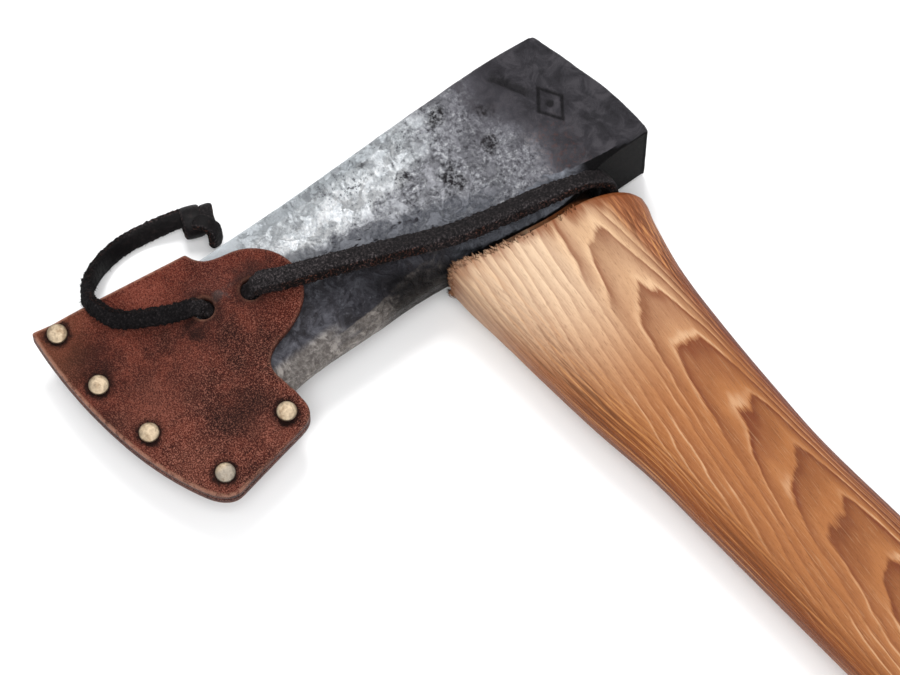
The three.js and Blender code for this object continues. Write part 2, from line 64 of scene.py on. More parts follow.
ORIGIN = np.array(
    [
        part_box("head")[0].x - HEAD_LOWEST_X * MM,
        (wedge_low.y + wedge_high.y) / 2,
        (wedge_low.z + wedge_high.z) / 2,
    ]
)


def to_row(points):
    """Design millimetres to row metres."""
    return np.asarray(points, float) * MM + ORIGIN


# ---- camera --------------------------------------------------------------------------
TO_CAMERA = Vector((0.2767, -0.2010, 0.9397))  # from the hatchet, in the row's axes
CAMERA_UP = Vector((-0.7602, 0.5523, 0.3420))
LOOKED_AT = (32.9, -37.2, 0.0)  # design frame
CAMERA_DISTANCE = 1.4
PHOTO_WIDTH_MM = 240.0  # what the frame spans at the hatchet


def add_object(name, data):
    made = bpy.data.objects.new(name, data)
    bpy.context.scene.collection.objects.link(made)
    return made


def make_camera():
    data = bpy.data.cameras.new("camera")
    camera = add_object("camera", data)
    backward = TO_CAMERA.normalized()
    right = CAMERA_UP.cross(backward).normalized()
    up = backward.cross(right)
    target = Vector(to_row(LOOKED_AT))
    axes = Matrix((right, up, backward)).transposed().to_4x4()
    camera.matrix_world = Matrix.Translation(target + backward * CAMERA_DISTANCE) @ axes
    data.lens = data.sensor_width * CAMERA_DISTANCE / (PHOTO_WIDTH_MM * MM)
    data.clip_start = 0.05
    data.clip_end = 20
    bpy.context.scene.camera = camera


make_camera()


# ---- small tools ---------------------------------------------------------------------
def mix(a, b, t):
    return a + (b - a) * t


def smooth(t):
    t = np.clip(t, 0, 1)
    return t * t * (3 - 2 * t)


def unit(vectors):
    return vectors / np.linalg.norm(vectors, axis=1)[:, None]


def profile(pairs):
    """A smooth curve through (position, value) pairs, flat beyond its ends."""
    xs = np.array([p[0] for p in pairs], float)
    ys = np.array([p[1] for p in pairs], float)
    ahead = np.minimum(np.arange(len(xs)) + 1, len(xs) - 1)
    behind = np.maximum(np.arange(len(xs)) - 1, 0)
    slopes = (ys[ahead] - ys[behind]) / (xs[ahead] - xs[behind])

    def at(s):
        s = np.clip(np.asarray(s, float), xs[0], xs[-1])
        i = np.clip(np.searchsorted(xs, s, side="right") - 1, 0, len(xs) - 2)
        span = xs[i + 1] - xs[i]
        t = (s - xs[i]) / span
        return (
            (2 * t**3 - 3 * t**2 + 1) * ys[i]
            + (t**3 - 2 * t**2 + t) * span * slopes[i]
            + (3 * t**2 - 2 * t**3) * ys[i + 1]
            + (t**3 - t**2) * span * slopes[i + 1]
        )

    return at


def fractal(points, size, octaves=3, seed=0.0, squeeze=(1, 1, 1)):
    """Fractal noise, about -1 to 1, at each point. size is its grain in millimetres."""
    shifted = np.asarray(points, float) / (size * np.asarray(squeeze, float)) + seed
    return np.array([noise.fractal(p, 1.0, 2.0, octaves) for p in shifted.tolist()])


def ring_faces(rows, columns):
    """Quads between rings of points."""
    faces = []
    for r in range(rows - 1):
        for c in range(columns):
            a = r * columns + c
            b = r * columns + (c + 1) % columns
            faces.append((a, b, b + columns, a + columns))
    return faces


def tube_faces(rows, columns):
    """Quads between rings of points, with a face over each end."""
    first, last = range(columns), range((rows - 1) * columns, rows * columns)
    return ring_faces(rows, columns) + [tuple(first)[::-1], tuple(last)]


def set_attribute(mesh, key, values):
    """Gives each of a mesh's points a number or a vector."""
    values = np.asarray(values, np.float32)
    kind, item = ("FLOAT", "value") if values.ndim == 1 else ("FLOAT_VECTOR", "vector")
    layer = mesh.attributes.new(key, kind, "POINT")
    layer.data.foreach_set(item, values.ravel())


def design_points(mesh):
    places = np.empty(len(mesh.vertices) * 3)
    mesh.vertices.foreach_get("co", places)
    return (places.reshape(-1, 3) - ORIGIN) / MM


def make_piece(name, points, faces, material, body, replaced=(), extra=None):
    """A mesh piece from design-frame points, riding on a CAD body."""
    mesh = bpy.data.meshes.new(name)
    mesh.from_pydata(to_row(points).tolist(), [], faces)
    mesh.validate()
    mesh.update()
    mesh.polygons.foreach_set("use_smooth", [True] * len(mesh.polygons))
    for key, values in {"design": points, **(extra or {})}.items():
        set_attribute(mesh, key, values)
    turn_outward(mesh)
    obj = add_object(name, mesh)
    mesh.materials.append(material)
    if body:
        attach(obj, body)
    if replaced:
        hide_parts(*replaced)
    return obj


def turn_outward(mesh):
    """Flips every face if the closed mesh's volume comes out negative."""
    mesh.calc_loop_triangles()
    points = np.array([v.co for v in mesh.vertices])
    corners = points[np.array([t.vertices for t in mesh.loop_triangles])] - points.mean(0)
    volumes = corners[:, 0] * np.cross(corners[:, 1], corners[:, 2])
    if volumes.sum() < 0:
        mesh.flip_normals()


def cut_away(obj, cutter):
    """Boolean difference, applied; the cutter is removed."""
    modifier = obj.modifiers.new("cut", "BOOLEAN")
    modifier.operation = "DIFFERENCE"
    modifier.solver = "EXACT"
    modifier.object = cutter
    depsgraph = bpy.context.evaluated_depsgraph_get()
    cut = bpy.data.meshes.new_from_object(obj.evaluated_get(depsgraph))
    obj.modifiers.clear()
    obj.data = cut
    shell = bmesh.new()
    shell.from_mesh(cut)
    bmesh.ops.recalc_face_normals(shell, faces=shell.faces)
    shell.to_mesh(cut)
    shell.free()
    cut.attributes.remove(cut.attributes["design"])
    set_attribute(cut, "design", design_points(cut))
    bpy.data.objects.remove(cutter)


# ---- node materials ------------------------------------------------------------------
class Field:
    """A value that varies over a material: a node's output, with arithmetic."""

    def __init__(self, shader, socket):
        self.shader, self.socket = shader, socket

    def __add__(self, other):
        return self.shader.math("ADD", self, other)

    def __sub__(self, other):
        return self.shader.math("SUBTRACT", self, other)

    def __mul__(self, other):
        return self.shader.math("MULTIPLY", self, other)

    def __truediv__(self, other):
        return self.shader.math("DIVIDE", self, other)

    def fade(self, low, high, to_low=0.0, to_high=1.0, soft=True):
        """Takes low to high onto to_low to to_high, flat beyond both ends."""
        made = self.shader.node(
            "MapRange", Value=self, From_Min=low, From_Max=high, To_Min=to_low, To_Max=to_high
        )
        made.interpolation_type = "SMOOTHSTEP" if soft else "LINEAR"
        return Field(self.shader, made.outputs[0])


class Shader:
    """A material's node tree, built up by short calls that return fields. color is the
    base colour so far."""

    def __init__(self, name):
        self.material = bpy.data.materials.new(name)
        self.material.use_nodes = True
        self.tree = self.material.node_tree
        self.design = self.attribute("design", "Vector")
        split = self.node("SeparateXYZ", Vector=self.design)
        self.x, self.y, self.z = [Field(self, socket) for socket in split.outputs]
        self.color = None

    def put(self, socket, value):
        if isinstance(value, Field):
            self.tree.links.new(value.socket, socket)
        else:
            socket.default_value = value

    def node(self, kind, **inputs):
        """A new node. An input's name has _ for each space."""
        made = self.tree.nodes.new("ShaderNode" + kind)
        for key, value in inputs.items():
            self.put(made.inputs[key.replace("_", " ")], value)
        return made

    def first(self, kind, **inputs):
        return Field(self, self.node(kind, **inputs).outputs[0])

    def attribute(self, name, output="Fac"):
        made = self.node("Attribute")
        made.attribute_name = name
        return Field(self, made.outputs[output])

    def math(self, operation, a, b=0.0, c=0.0):
        made = self.node("Math")
        made.operation = operation
        for socket, value in zip(made.inputs, (a, b, c)):
            self.put(socket, value)
        return Field(self, made.outputs[0])

    def stretched(self, size, shift=(0, 0, 0), vector=None):
        """Design coordinates divided by a grain's size in millimetres, which is one number
        or one for each axis."""
        sizes = size if isinstance(size, tuple) else (size, size, size)
        place = vector or self.design
        return self.first("Mapping", Vector=place, Scale=[1 / s for s in sizes], Location=shift)

    def noise(self, size, detail=3.0, rough=0.5, distortion=0.0, shift=(0, 0, 0), vector=None):
        place = self.stretched(size, shift, vector)
        made = self.node("TexNoise", Vector=place, Scale=1.0, Detail=detail)
        self.put(made.inputs["Roughness"], rough)
        self.put(made.inputs["Distortion"], distortion)
        return Field(self, made.outputs[0])

    def cells(self, size):
        return self.first("TexVoronoi", Vector=self.stretched(size), Scale=1.0)

    def facing_x(self):
        """How far the surface faces down the handle, -1 to 1."""
        normal = Field(self, self.node("NewGeometry").outputs["Normal"])
        return self.first("SeparateXYZ", Vector=normal)

    def ramp(self, value, stops):
        """value's colour between stops, each a place and an sRGB colour."""
        made = self.node("ValToRGB")
        self.put(made.inputs[0], value)
        elements = made.color_ramp.elements
        for i, (place, color) in enumerate(stops):
            element = elements[i] if i < 2 else elements.new(place)
            element.position = place
            element.color = (*linear(color), 1)
        return Field(self, made.outputs[0])

    def blend(self, amount, a, b, kind="MIX"):
        made = self.node("Mix")
        made.data_type = "RGBA"
        made.blend_type = kind
        self.put(made.inputs["Factor"], amount)
        for socket, value in ((made.inputs[6], a), (made.inputs[7], b)):
            self.put(socket, (*linear(value), 1) if isinstance(value, tuple) else value)
        return Field(self, made.outputs[2])

    def paint(self, amount, tint, kind="MIX"):
        self.color = self.blend(amount, self.color, tint, kind)

    def stain(self, cloud, ragged, core, round_patches):
        """Paints soft round patches, each a place, a reach, a colour and a strength: stains, and
        the painted shade round the rivets and holes.
        """
        for (x, y), reach, tint, depth in round_patches:
            dx, dy = self.x - x, self.y - y
            away = self.math("SQRT", dx * dx + dy * dy) + cloud.fade(0.3, 0.7, -ragged, ragged)
            self.paint(away.fade(reach, core, 0, depth), tint)

    def bump(self, height, depth_mm):
        return self.first("Bump", Height=height, Strength=1.0, Distance=depth_mm * MM)

    def finish(self, **inputs):
        bsdf = self.tree.nodes["Principled BSDF"]
        self.put(bsdf.inputs["Base Color"], self.color)
        for key, value in inputs.items():
            self.put(bsdf.inputs[key.replace("_", " ")], value)
        return self.material


def linear(color):
    """sRGB 0 to 255 to linear 0 to 1."""
    part = [c / 255 for c in color]
    return tuple(c / 12.92 if c <= 0.04045 else ((c + 0.055) / 1.055) ** 2.4 for c in part)


# ---- shared shape functions ----------------------------------------------------------
POLL_TOP = (-19.8, 28.7)
POLL_BOTTOM = (21.2, 37.4)
EDGE_Y = -117.7
EDGE_CURVE = 23.1
EDGE_STRAIGHT = 0.15  # share of the edge, from its toe, before it curves back
crown_x = profile(
    [
        (0, -19.8), (0.1, -20.9), (0.22, -21.2), (0.5, -21.4), (0.68, -22.4), (0.85, -23.8),
        (1, HEAD_LOWEST_X),
    ]
)
under_x = profile(
    [
        (0, 20.9), (0.1, 20.9), (0.14, 21.6), (0.19, 23.2), (0.245, 23.6), (0.317, 22.3),
        (0.375, 20.9), (0.43, 20.2), (0.5, 19.7), (0.56, 19.5), (0.66, 19.7), (0.76, 19.9),
        (0.86, 21.4), (0.94, 24.2), (1, 27),
    ]
)
corner_back = profile(
    [
        (0, 0.6), (0.3, 0.6), (0.375, 0.9), (0.405, 3.0), (0.43, 6.2), (0.5, 5.6), (0.56, 4.3),
        (0.6, 3.3), (0.7, 3.3), (0.78, 2.7), (0.86, 2.4), (0.94, 1.6), (1, 0.4),
    ]
)
ridge_x = profile(
    [
        (0, 19.6), (0.1, 19.4), (0.3, 15.6), (0.4, 13.2), (0.48, 9.5), (0.58, 4.5), (0.68, 0),
        (1, -2),
    ]
)
crown_half = profile(
    [
        (0, 15.1), (0.1, 15.0), (0.2, 14.3), (0.3, 13.3), (0.4, 12.0), (0.48, 10.7),
        (0.58, 8.6), (0.68, 6.5), (0.78, 4.6), (0.87, 3.1), (0.95, 1.7), (1, 0.25),
    ]
)
ridge_half = profile(
    [
        (0, 15.75), (0.1, 15.7), (0.2, 14.9), (0.3, 13.9), (0.4, 12.7), (0.48, 11.4),
        (0.58, 9.3), (0.68, 7.1), (0.78, 5.2), (0.87, 3.6), (0.95, 2.0), (1, 0.25),
    ]
)
corner_half = profile(
    [
        (0, 15.3), (0.1, 15.1), (0.2, 11.8), (0.3, 10.9), (0.375, 10.4), (0.43, 10.2), (0.5, 9.2),
        (0.56, 8.2), (0.62, 7.1), (0.7, 5.4), (0.78, 3.7), (0.86, 2.5), (0.94, 1.6), (1, 0.25),
    ]
)
under_half = profile(
    [
        (0, 14.7), (0.1, 14.5), (0.2, 11.2), (0.3, 10.3), (0.375, 9.4), (0.405, 7.0), (0.43, 5.4),
        (0.5, 3.6), (0.62, 2.8), (0.7, 2.3), (0.78, 1.7), (0.86, 1.3), (0.94, 0.9), (1, 0.25),
    ]
)


def head_v(u, x):
    """The share of x from the head's crown to its underside."""
    return (x - crown_x(u)) / (under_x(u) - crown_x(u))


def poll_and_edge(u, x):
    """y at both ends of the head."""
    across = (x - POLL_TOP[0]) / (POLL_BOTTOM[0] - POLL_TOP[0])
    curved = np.maximum(0, head_v(u, x) - EDGE_STRAIGHT) ** 3
    return mix(POLL_TOP[1], POLL_BOTTOM[1], across), EDGE_Y + EDGE_CURVE * curved


def head_half(u, v):
    """Half thickness of the head: flats that meet along the ridge and the lower corner."""
    width = under_x(u) - crown_x(u)
    ridge = (ridge_x(u) - crown_x(u)) / width
    corner = 1 - corner_back(u) / width
    t = np.clip(v, 0, 1)
    upper = mix(crown_half(u), ridge_half(u), np.sqrt(np.clip(t / ridge, 0, 1)))
    lower = mix(ridge_half(u), corner_half(u), np.clip((t - ridge) / (corner - ridge), 0, 1))
    keel = mix(corner_half(u), under_half(u), np.clip((t - corner) / (1 - corner), 0, 1))
    return np.where(t < ridge, upper, np.where(t < corner, lower, keel))


def head_parameters(x, y):
    """u and v of plan points, beyond 0 and 1 outside the outline."""
    u = np.full(np.shape(x), 0.7)
    for _ in range(12):
        poll, edge = poll_and_edge(u, np.clip(x, crown_x(u), under_x(u)))
        u = (y - poll) / (edge - poll)
    return u, head_v(u, x)


# sheath
LEATHER = 3.0
POCKET_CLEARANCE = 0.4
MARGIN_START = 0.9
MARGIN_FADE = 3.2
PANEL_GAP = 0.3
BULGE_HEIGHT = 2.7  # over the lace between the two holes
BULGE_CORE = 2.6
BULGE_FADE = 9.0
HOLE_TAIL = (-9.0, -87.5)
HOLE_STRETCH = (-5.6, -74.5)
RIVETS = [(-28.3, -121.9), (-9.9, -121.2), (8.9, -118.0), (29.8, -108.1), (25.7, -85.3)]


def lace_distance(x, y):
    (ax, ay), (bx, by) = HOLE_TAIL, HOLE_STRETCH
    dx, dy = bx - ax, by - ay
    t = np.clip(((x - ax) * dx + (y - ay) * dy) / (dx * dx + dy * dy), 0, 1)
    return np.hypot(x - ax - t * dx, y - ay - t * dy)


def pocket_height(x, y):
    """Height of a panel's inner face over the middle plane."""
    u, v = head_parameters(x, y)
    along = np.minimum(u, 1)
    beyond = np.maximum(0, x - under_x(along) - MARGIN_START)
    open_share = 1 - smooth(beyond / MARGIN_FADE)
    bulge = BULGE_HEIGHT * (1 - smooth((lace_distance(x, y) - BULGE_CORE) / BULGE_FADE))
    blade = (head_half(along, v) + POCKET_CLEARANCE) * open_share * (1 - smooth((u - 1) * 30))
    return np.maximum(PANEL_GAP / 2, blade) + bulge


def outer_face(x, y):
    return pocket_height(x, y) + LEATHER


# ---- lace ----------------------------------------------------------------------------
LACE_THICK = 2.8
LACE_SIDES = 40
HAIR_RADIUS = 0.075
FLOOR = -ORIGIN[2] / MM  # the floor's height in the design frame
STRETCH_WAY = (0.36, 0.93)
TAIL_WAY = (-0.47, -0.88)


def at_hole(hole, way, along, lift):
    x, y = hole[0] + way[0] * along, hole[1] + way[1] * along
    return (x, y, float(outer_face(np.array(x), np.array(y))) + lift)


def spaced(points, step, closed=False):
    """Rows about every step along a line of rows that start with x, y and perhaps z."""
    steps = np.linalg.norm(np.diff(points[:, :3], axis=0), axis=1)
    lengths = np.concatenate([[0], np.cumsum(steps)])
    if closed:
        at = np.linspace(0, lengths[-1], int(lengths[-1] / step), endpoint=False)
    else:
        at = np.linspace(0, lengths[-1], max(4, int(round(lengths[-1] / step))) + 1)
    return np.stack([np.interp(at, lengths, column) for column in points.T], 1)


def resample(points, step):
    """Rows about every step along a Catmull-Rom curve through the given rows."""
    rows = np.asarray(points, float)
    padded = np.vstack([2 * rows[0] - rows[1], rows, 2 * rows[-1] - rows[-2]])
    dense = []
    for i in range(1, len(padded) - 2):
        p0, p1, p2, p3 = padded[i - 1 : i + 3]
        for t in np.linspace(0, 1, 24, endpoint=False):
            dense.append(
                0.5 * (2 * p1 + (p2 - p0) * t + (2 * p0 - 5 * p1 + 4 * p2 - p3) * t**2
                       + (3 * p1 - p0 - 3 * p2 + p3) * t**3)
            )
    return spaced(np.array(dense + [rows[-1]]), step)


def strap(route, step=0.33, seed=0.0, fuzz=0.42, hairs=0):
    """Points, faces, middle line and attributes of a flat strap. A row of the route is x, y,
    z, the direction that its grain side faces, its width, its thickness, and how fuzzy its
    surface is. hairs is the number of loose fibres."""
    rows = resample(route, step)
    centre, face = rows[:, :3], rows[:, 3:6]
    tangent = unit(np.gradient(centre, axis=0))
    face = unit(face - (face * tangent).sum(1)[:, None] * tangent)
    side = np.cross(tangent, face)
    width, thick, rough = rows[:, 6], rows[:, 7], rows[:, 8]
    angle = np.linspace(0, 2 * np.pi, LACE_SIDES, endpoint=False)
    c, s = np.cos(angle), np.sin(angle)
    across = np.sign(c) * np.abs(c) ** 0.5 * width[:, None] / 2
    up = np.sign(s) * np.abs(s) ** 0.6 * thick[:, None] / 2
    ends = np.minimum(np.arange(len(rows)), np.arange(len(rows))[::-1]) * step
    shrink = 1 - (1 - np.clip(ends / 0.6, 0, 1)) ** 2 * 0.35
    offset = side[:, None] * across[..., None] + face[:, None] * up[..., None]
    offset *= shrink[:, None, None]
    points = (centre[:, None] + offset).reshape(-1, 3)
    outward = unit(offset.reshape(-1, 3))
    edge = np.abs(c) ** 2
    back = np.clip(-s * 3, 0, 1)
    # the grain side is smooth, the flesh side and the cut edges are rough
    ragged = np.clip(0.12 + rough[:, None] + 0.6 * np.maximum(edge, back)[None], 0, 1.15).ravel()
    coarse = fractal(points, 1.6, 2, seed) * 0.18
    fine = fractal(points, 0.75, 2, seed + 4) * fuzz
    points = points + outward * ((coarse + fine) * ragged)[:, None]
    faces = tube_faces(len(rows), LACE_SIDES)
    cut_edge = np.tile(edge, len(rows))
    if hairs:
        # short loose fibres that stand off the flesh side
        rng = np.random.default_rng(int(seed * 10))
        weight = np.clip(ragged - 0.35, 0, None) ** 2
        roots = rng.choice(len(points), hairs, p=weight / weight.sum())
        start = len(points)
        way = unit(outward[roots] + rng.normal(0, 0.55, (hairs, 3)))
        beside = unit(np.cross(way, rng.normal(0, 1, (hairs, 3))))
        third = np.cross(way, beside)
        length = rng.uniform(0.35, 0.95, hairs)[:, None]
        base = points[roots] - outward[roots] * 0.08
        thirds = [k * math.tau / 3 for k in range(3)]
        fibre = [
            base + (beside * math.cos(a) + third * math.sin(a)) * HAIR_RADIUS for a in thirds
        ]
        fibre.append(base + way * length)
        points = np.vstack([points, np.stack(fibre, 1).reshape(-1, 3)])
        for k in range(start, start + 4 * hairs, 4):
            faces += [(k, k + 2, k + 1), (k, k + 1, k + 3)]
            faces += [(k + 1, k + 2, k + 3), (k + 2, k, k + 3)]
        cut_edge = np.append(cut_edge, np.zeros(4 * hairs))
        ragged = np.append(ragged, np.full(4 * hairs, 2.0))
    points[:, 2] = np.maximum(points[:, 2], FLOOR + 0.02)
    return points, faces, centre, {"cut_edge": cut_edge, "ragged": ragged}


# over the cheek and round behind the handle; the strap lies partly on its edge
STRETCH = [
    (*at_hole(HOLE_STRETCH, STRETCH_WAY, 1.6, 1.2), -0.3, -0.5, 0.8, 5.0, 3.6, 0.9),
    (*at_hole(HOLE_STRETCH, STRETCH_WAY, 3.4, 2.5), -0.3, -0.25, 0.93, 5.8, 4.3, 0.9),
    (-2.7, -67.2, 14.9, -0.35, -0.05, 1, 5.9, 4.3, 0.8),
    (-0.6, -61.6, 14.8, -0.4, 0, 1, 6.0, 4.4, 0.6),
    (3.9, -49.2, 14.9, -0.45, 0, 1, 6.0, 4.4, 0.45),
    (9.0, -36.3, 15.1, -0.5, 0, 1, 6.0, 4.3, 0.35),
    (14.2, -22.6, 15.2, -0.5, 0, 1, 6.0, 4.2, 0.35),
    (17.2, -10.0, 15.5, -0.45, 0, 1, 6.0, 4.0, 0.35),
    (20.0, 4.6, 15.3, -0.4, 0.05, 1, 5.8, 3.6, 0.35),
    (21.9, 13.0, 14.9, -0.3, 0.4, 0.9, 5.0, 3.0, 0.35),
]
WRAP = [
    (22.9, 17.6, 13.3, 0, 0.8, 0.6, 5.0, 2.8, 0.3),
    (24.1, 21.2, 8.6, -0.05, 1, 0.2, 5.0, 2.7, 0.3),
    (24.6, 22.3, 0, 0, 1, 0, 5.0, 2.7, 0.3),
]
WRAP_BEHIND = [
    (24.1, 21.2, -8.6, -0.05, 1, -0.2, 5.0, 2.7, 0.3),
    (22.9, 17.4, -13.0, 0, 0.8, -0.6, 5.2, 2.7, 0.3),
]
STRETCH_BEHIND = [
    (21.9, 13.0, -14.7, 0.15, 0.3, -0.9, 5.3, 2.7, 0.3),
    (20.0, 4.6, -15.2, 0.1, 0, -1, 5.4, 2.7, 0.3),
    (17.2, -10.0, -15.4, 0.1, 0, -1, 5.4, 2.7, 0.3),
    (14.2, -22.6, -15.1, 0.1, 0, -1, 5.4, 2.7, 0.3),
    (9.0, -36.3, -14.8, 0.1, 0, -1, 5.4, 2.7, 0.3),
    (3.9, -49.2, -14.6, 0.1, 0, -1, 5.4, 2.7, 0.3),
    (-0.6, -61.6, -14.4, 0, 0, -1, 5.4, 2.7, 0.4),
    (-2.7, -67.2, -14.3, 0, 0, -1, 5.4, 2.7, 0.4),
    (-4.6, -71.8, -14.6, 0.1, 0.3, -0.9, 5.2, 2.7, 0.4),
]


def turned(rows):
    """Swaps each row's turn, the degrees between its grain side and the camera, for the
    direction that the grain side then faces."""
    rows = resample(rows, 0.5)
    tangent = unit(np.gradient(rows[:, :3], axis=0))
    view = np.array(TO_CAMERA)
    first = unit(view - (tangent @ view)[:, None] * tangent)
    second = np.cross(tangent, first)
    angle = np.radians(rows[:, 3])[:, None]
    facing = first * np.cos(angle) + second * np.sin(angle)
    return np.column_stack([rows[:, :3], facing, rows[:, 4:]])


# out of its hole flesh side up, over the toe side of the sheath, turning over on its way
# to the floor, where it lies on its knot
TAIL = turned([
    (*at_hole(HOLE_TAIL, TAIL_WAY, 0.4, -0.5), 165, 4.6, 2.8, 1),
    (*at_hole(HOLE_TAIL, TAIL_WAY, 2.6, 1.9), 168, 4.7, 3.0, 1),
    (-12.4, -94.6, 10.9, 165, 4.8, 3.0, 1),
    (-15.6, -100.4, 9.7, 160, 4.8, 3.0, 1),
    (-18.2, -104.6, 9.0, 155, 4.8, 3.0, 1),
    (-21.6, -108.2, 8.8, 150, 4.8, 3.0, 1),
    (-26.0, -110.0, 8.4, 140, 4.8, 3.0, 1),
    (-30.8, -110.0, 5.2, 122, 4.8, 3.0, 0.9),
    (-35.0, -108.0, -0.8, 95, 4.8, 3.0, 0.8),
    (-38.6, -105.2, -6.4, 70, 4.9, 3.0, 0.55),
    (-41.8, -101.2, -10.6, 48, 5.1, 2.9, 0.2),
    (-44.0, -96.2, -13.2, 34, 5.3, 2.8, 0),
    (-44.8, -90.4, -13.9, 26, 5.4, 2.8, 0),
    (-44.2, -84.0, -13.8, 22, 5.4, 2.8, 0),
    (-42.6, -77.8, -12.4, 18, 5.2, 2.8, 0),
    (-41.0, -73.2, -11.4, 15, 5.0, 2.8, 0),
    (-39.2, -71.2, -11.2, 15, 4.6, 2.6, 0),
])


def pocket_point(hole, way, along):
    x, y = hole[0] + way[0] * along, hole[1] + way[1] * along
    return (x, y, float(pocket_height(np.array(x), np.array(y))) - LACE_THICK / 2 - 0.1)


def thread_route():
    """From the stretch hole's mouth, under the leather, to the tail hole's mouth."""
    size = (4.6, LACE_THICK, 0.3)
    return [
        (*at_hole(HOLE_STRETCH, STRETCH_WAY, 0.6, -0.3), -0.3, -0.6, 0.7, *size),
        (*at_hole(HOLE_STRETCH, STRETCH_WAY, -0.8, -2.2), -0.3, -0.7, 0.6, *size),
        (*pocket_point(HOLE_STRETCH, STRETCH_WAY, -3.6), 0, 0, 1, *size),
        (*pocket_point(HOLE_TAIL, TAIL_WAY, -3.6), 0, 0, 1, *size),
        (*at_hole(HOLE_TAIL, TAIL_WAY, -0.8, -2.6), 0.3, 0.7, 0.6, *size),
        (*at_hole(HOLE_TAIL, TAIL_WAY, 0.4, -0.9), 0.3, 0.6, 0.7, *size),
    ]


def mirrored(route):
    return [(x, y, -z, fx, fy, -fz, *size) for x, y, z, fx, fy, fz, *size in route]


def lace_material():
    s = Shader("lace_leather")
    edge = s.attribute("cut_edge")
    ragged = s.attribute("ragged")
    fine = s.noise(0.6, 3, 0.75)
    coarse = s.noise(1.3, 4, 0.65, shift=(5, 1, 2))
    patches = s.noise(7, 2, shift=(2, 7, 1))
    grain = s.ramp(coarse, [(0.3, (7, 6, 6)), (0.55, (13, 10, 11)), (0.75, (30, 24, 23))])
    # the rough side's dark suede, whose light grey specks are painted sheen
    suede_and_sheen = s.ramp(
        fine,
        [(0.4, (14, 12, 13)), (0.52, (34, 31, 32)), (0.6, (56, 51, 52)), (0.72, (92, 85, 86))],
    )
    brown = s.ramp(fine, [(0.44, (4, 3, 3)), (0.54, (16, 9, 8)), (0.66, (88, 52, 40))])
    s.color = s.blend(ragged.fade(0.2, 0.8), grain, suede_and_sheen)
    shows = edge.fade(0.55, 0.9) * patches.fade(0.4, 0.6, 0.35, 0.95)
    s.paint(shows, brown)
    s.paint(ragged.fade(1.4, 1.8), (50, 43, 42))
    s.paint(s.y.fade(-86, -92, 0, 0.72), (3, 2, 3))
    height = fine * ragged.fade(0.1, 0.9, 0.2, 1.2) + coarse * 0.5
    return s.finish(
        Roughness=ragged.fade(0.1, 0.8, 0.45, 0.85), Normal=s.bump(height, 0.4),
        Specular_IOR_Level=0.1,
    )


LACE_MATERIAL = lace_material()


def make_lace():
    """The long part of the lace, from hole to hole round behind the handle."""
    thread = thread_route()
    route = thread[::-1] + STRETCH + WRAP + WRAP_BEHIND + STRETCH_BEHIND + mirrored(thread)
    points, faces, _, extra = strap(route, seed=3.1, hairs=2400)
    parts = ("front_thread", "back_thread", "front_stretch", "back_stretch", "wrap")
    replaced = ["lace_" + part for part in parts]
    lace = make_piece("lace", points, faces, LACE_MATERIAL, None, replaced, extra)
    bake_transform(lace)


def make_sheath_lace(name, strapped, node):
    """A piece of lace that rides on the sheath, from what strap returned."""
    points, faces, _, extra = strapped
    return make_piece(
        name, points, faces, LACE_MATERIAL, "sheath", [node], extra
    )


TAIL_KNOT = np.array([-37.9, -70.2, FLOOR + 5.4])
KNOT_AXIS = np.array([0.35, 0.94, 0.0])


def knot_parts():
    """Routes of an overhand knot pulled tight: a collar, a lobe and the end below."""
    axis = KNOT_AXIS / np.linalg.norm(KNOT_AXIS)
    up = np.array([0, 0, 1.0])
    across = np.cross(axis, up)

    def turn(start, turns, along, tilt, reach, size, fuzz):
        rows = []
        for k in range(17):
            share = k / 16
            angle = start + share * 2 * math.pi * turns
            out = math.cos(angle) * across + math.sin(angle) * up
            wide = math.cos(angle) * across * 1.15 + math.sin(angle) * up * 0.9
            lengthwise = mix(*along, share) + tilt * math.cos(angle)
            spot = TAIL_KNOT + axis * lengthwise + wide * reach
            rows.append((*spot, *out, *size, fuzz))
        return rows

    collar = turn(-2.0, 1.05, (-1.9, -1.4), 0.25, 3.0, (5.6, 2.4), 0)
    lobe = turn(0.2, 1.0, (2.2, 2.8), -0.3, 2.3, (3.8, 2.9), 0.25)
    fold = [
        (*(TAIL_KNOT + axis * a + across * b + up * c), *rest)
        for a, b, c, *rest in (
            (-1.5, 1.0, 2.6, 0.0, 0.3, 1.0, 4.4, 2.6, 0.1),
            (1.4, 2.6, 3.3, 0.2, 0.4, 0.9, 4.6, 2.8, 0.1),
            (3.2, 4.4, 1.8, 0.6, 0.5, 0.6, 4.6, 2.8, 0.2),
            (3.4, 6.0, -0.8, 0.9, 0.4, 0.2, 4.4, 2.6, 0.3),
            (2.7, 7.2, -2.9, 0.9, 0.4, 0.3, 3.8, 2.2, 0.5),
        )
    ]
    return [collar, lobe, fold]


def make_tail_and_knot():
    strapped = strap(TAIL, seed=8.7, hairs=1500)
    tail = make_sheath_lace("lace_end", strapped, "lace_tail")
    knots = []
    for route, name in zip(knot_parts(), ("collar", "lobe", "stub")):
        knot = strap(route, seed=2.2 + len(knots), fuzz=0.12)
        knots.append(make_sheath_lace(f"lace_knot_{name}", knot, "lace_tail_knot"))


make_lace()
make_tail_and_knot()


# ---- head ----------------------------------------------------------------------------
EYE_BACK, EYE_FRONT, EYE_HALF = 17.5, -24.5, 9.4


def bezier(points, t):
    a, b, c, d = (np.array(p, float) for p in points)
    t = np.asarray(t)[:, None]
    return (1 - t) ** 3 * a + 3 * t * (1 - t) ** 2 * b + 3 * t * t * (1 - t) * c + t**3 * d


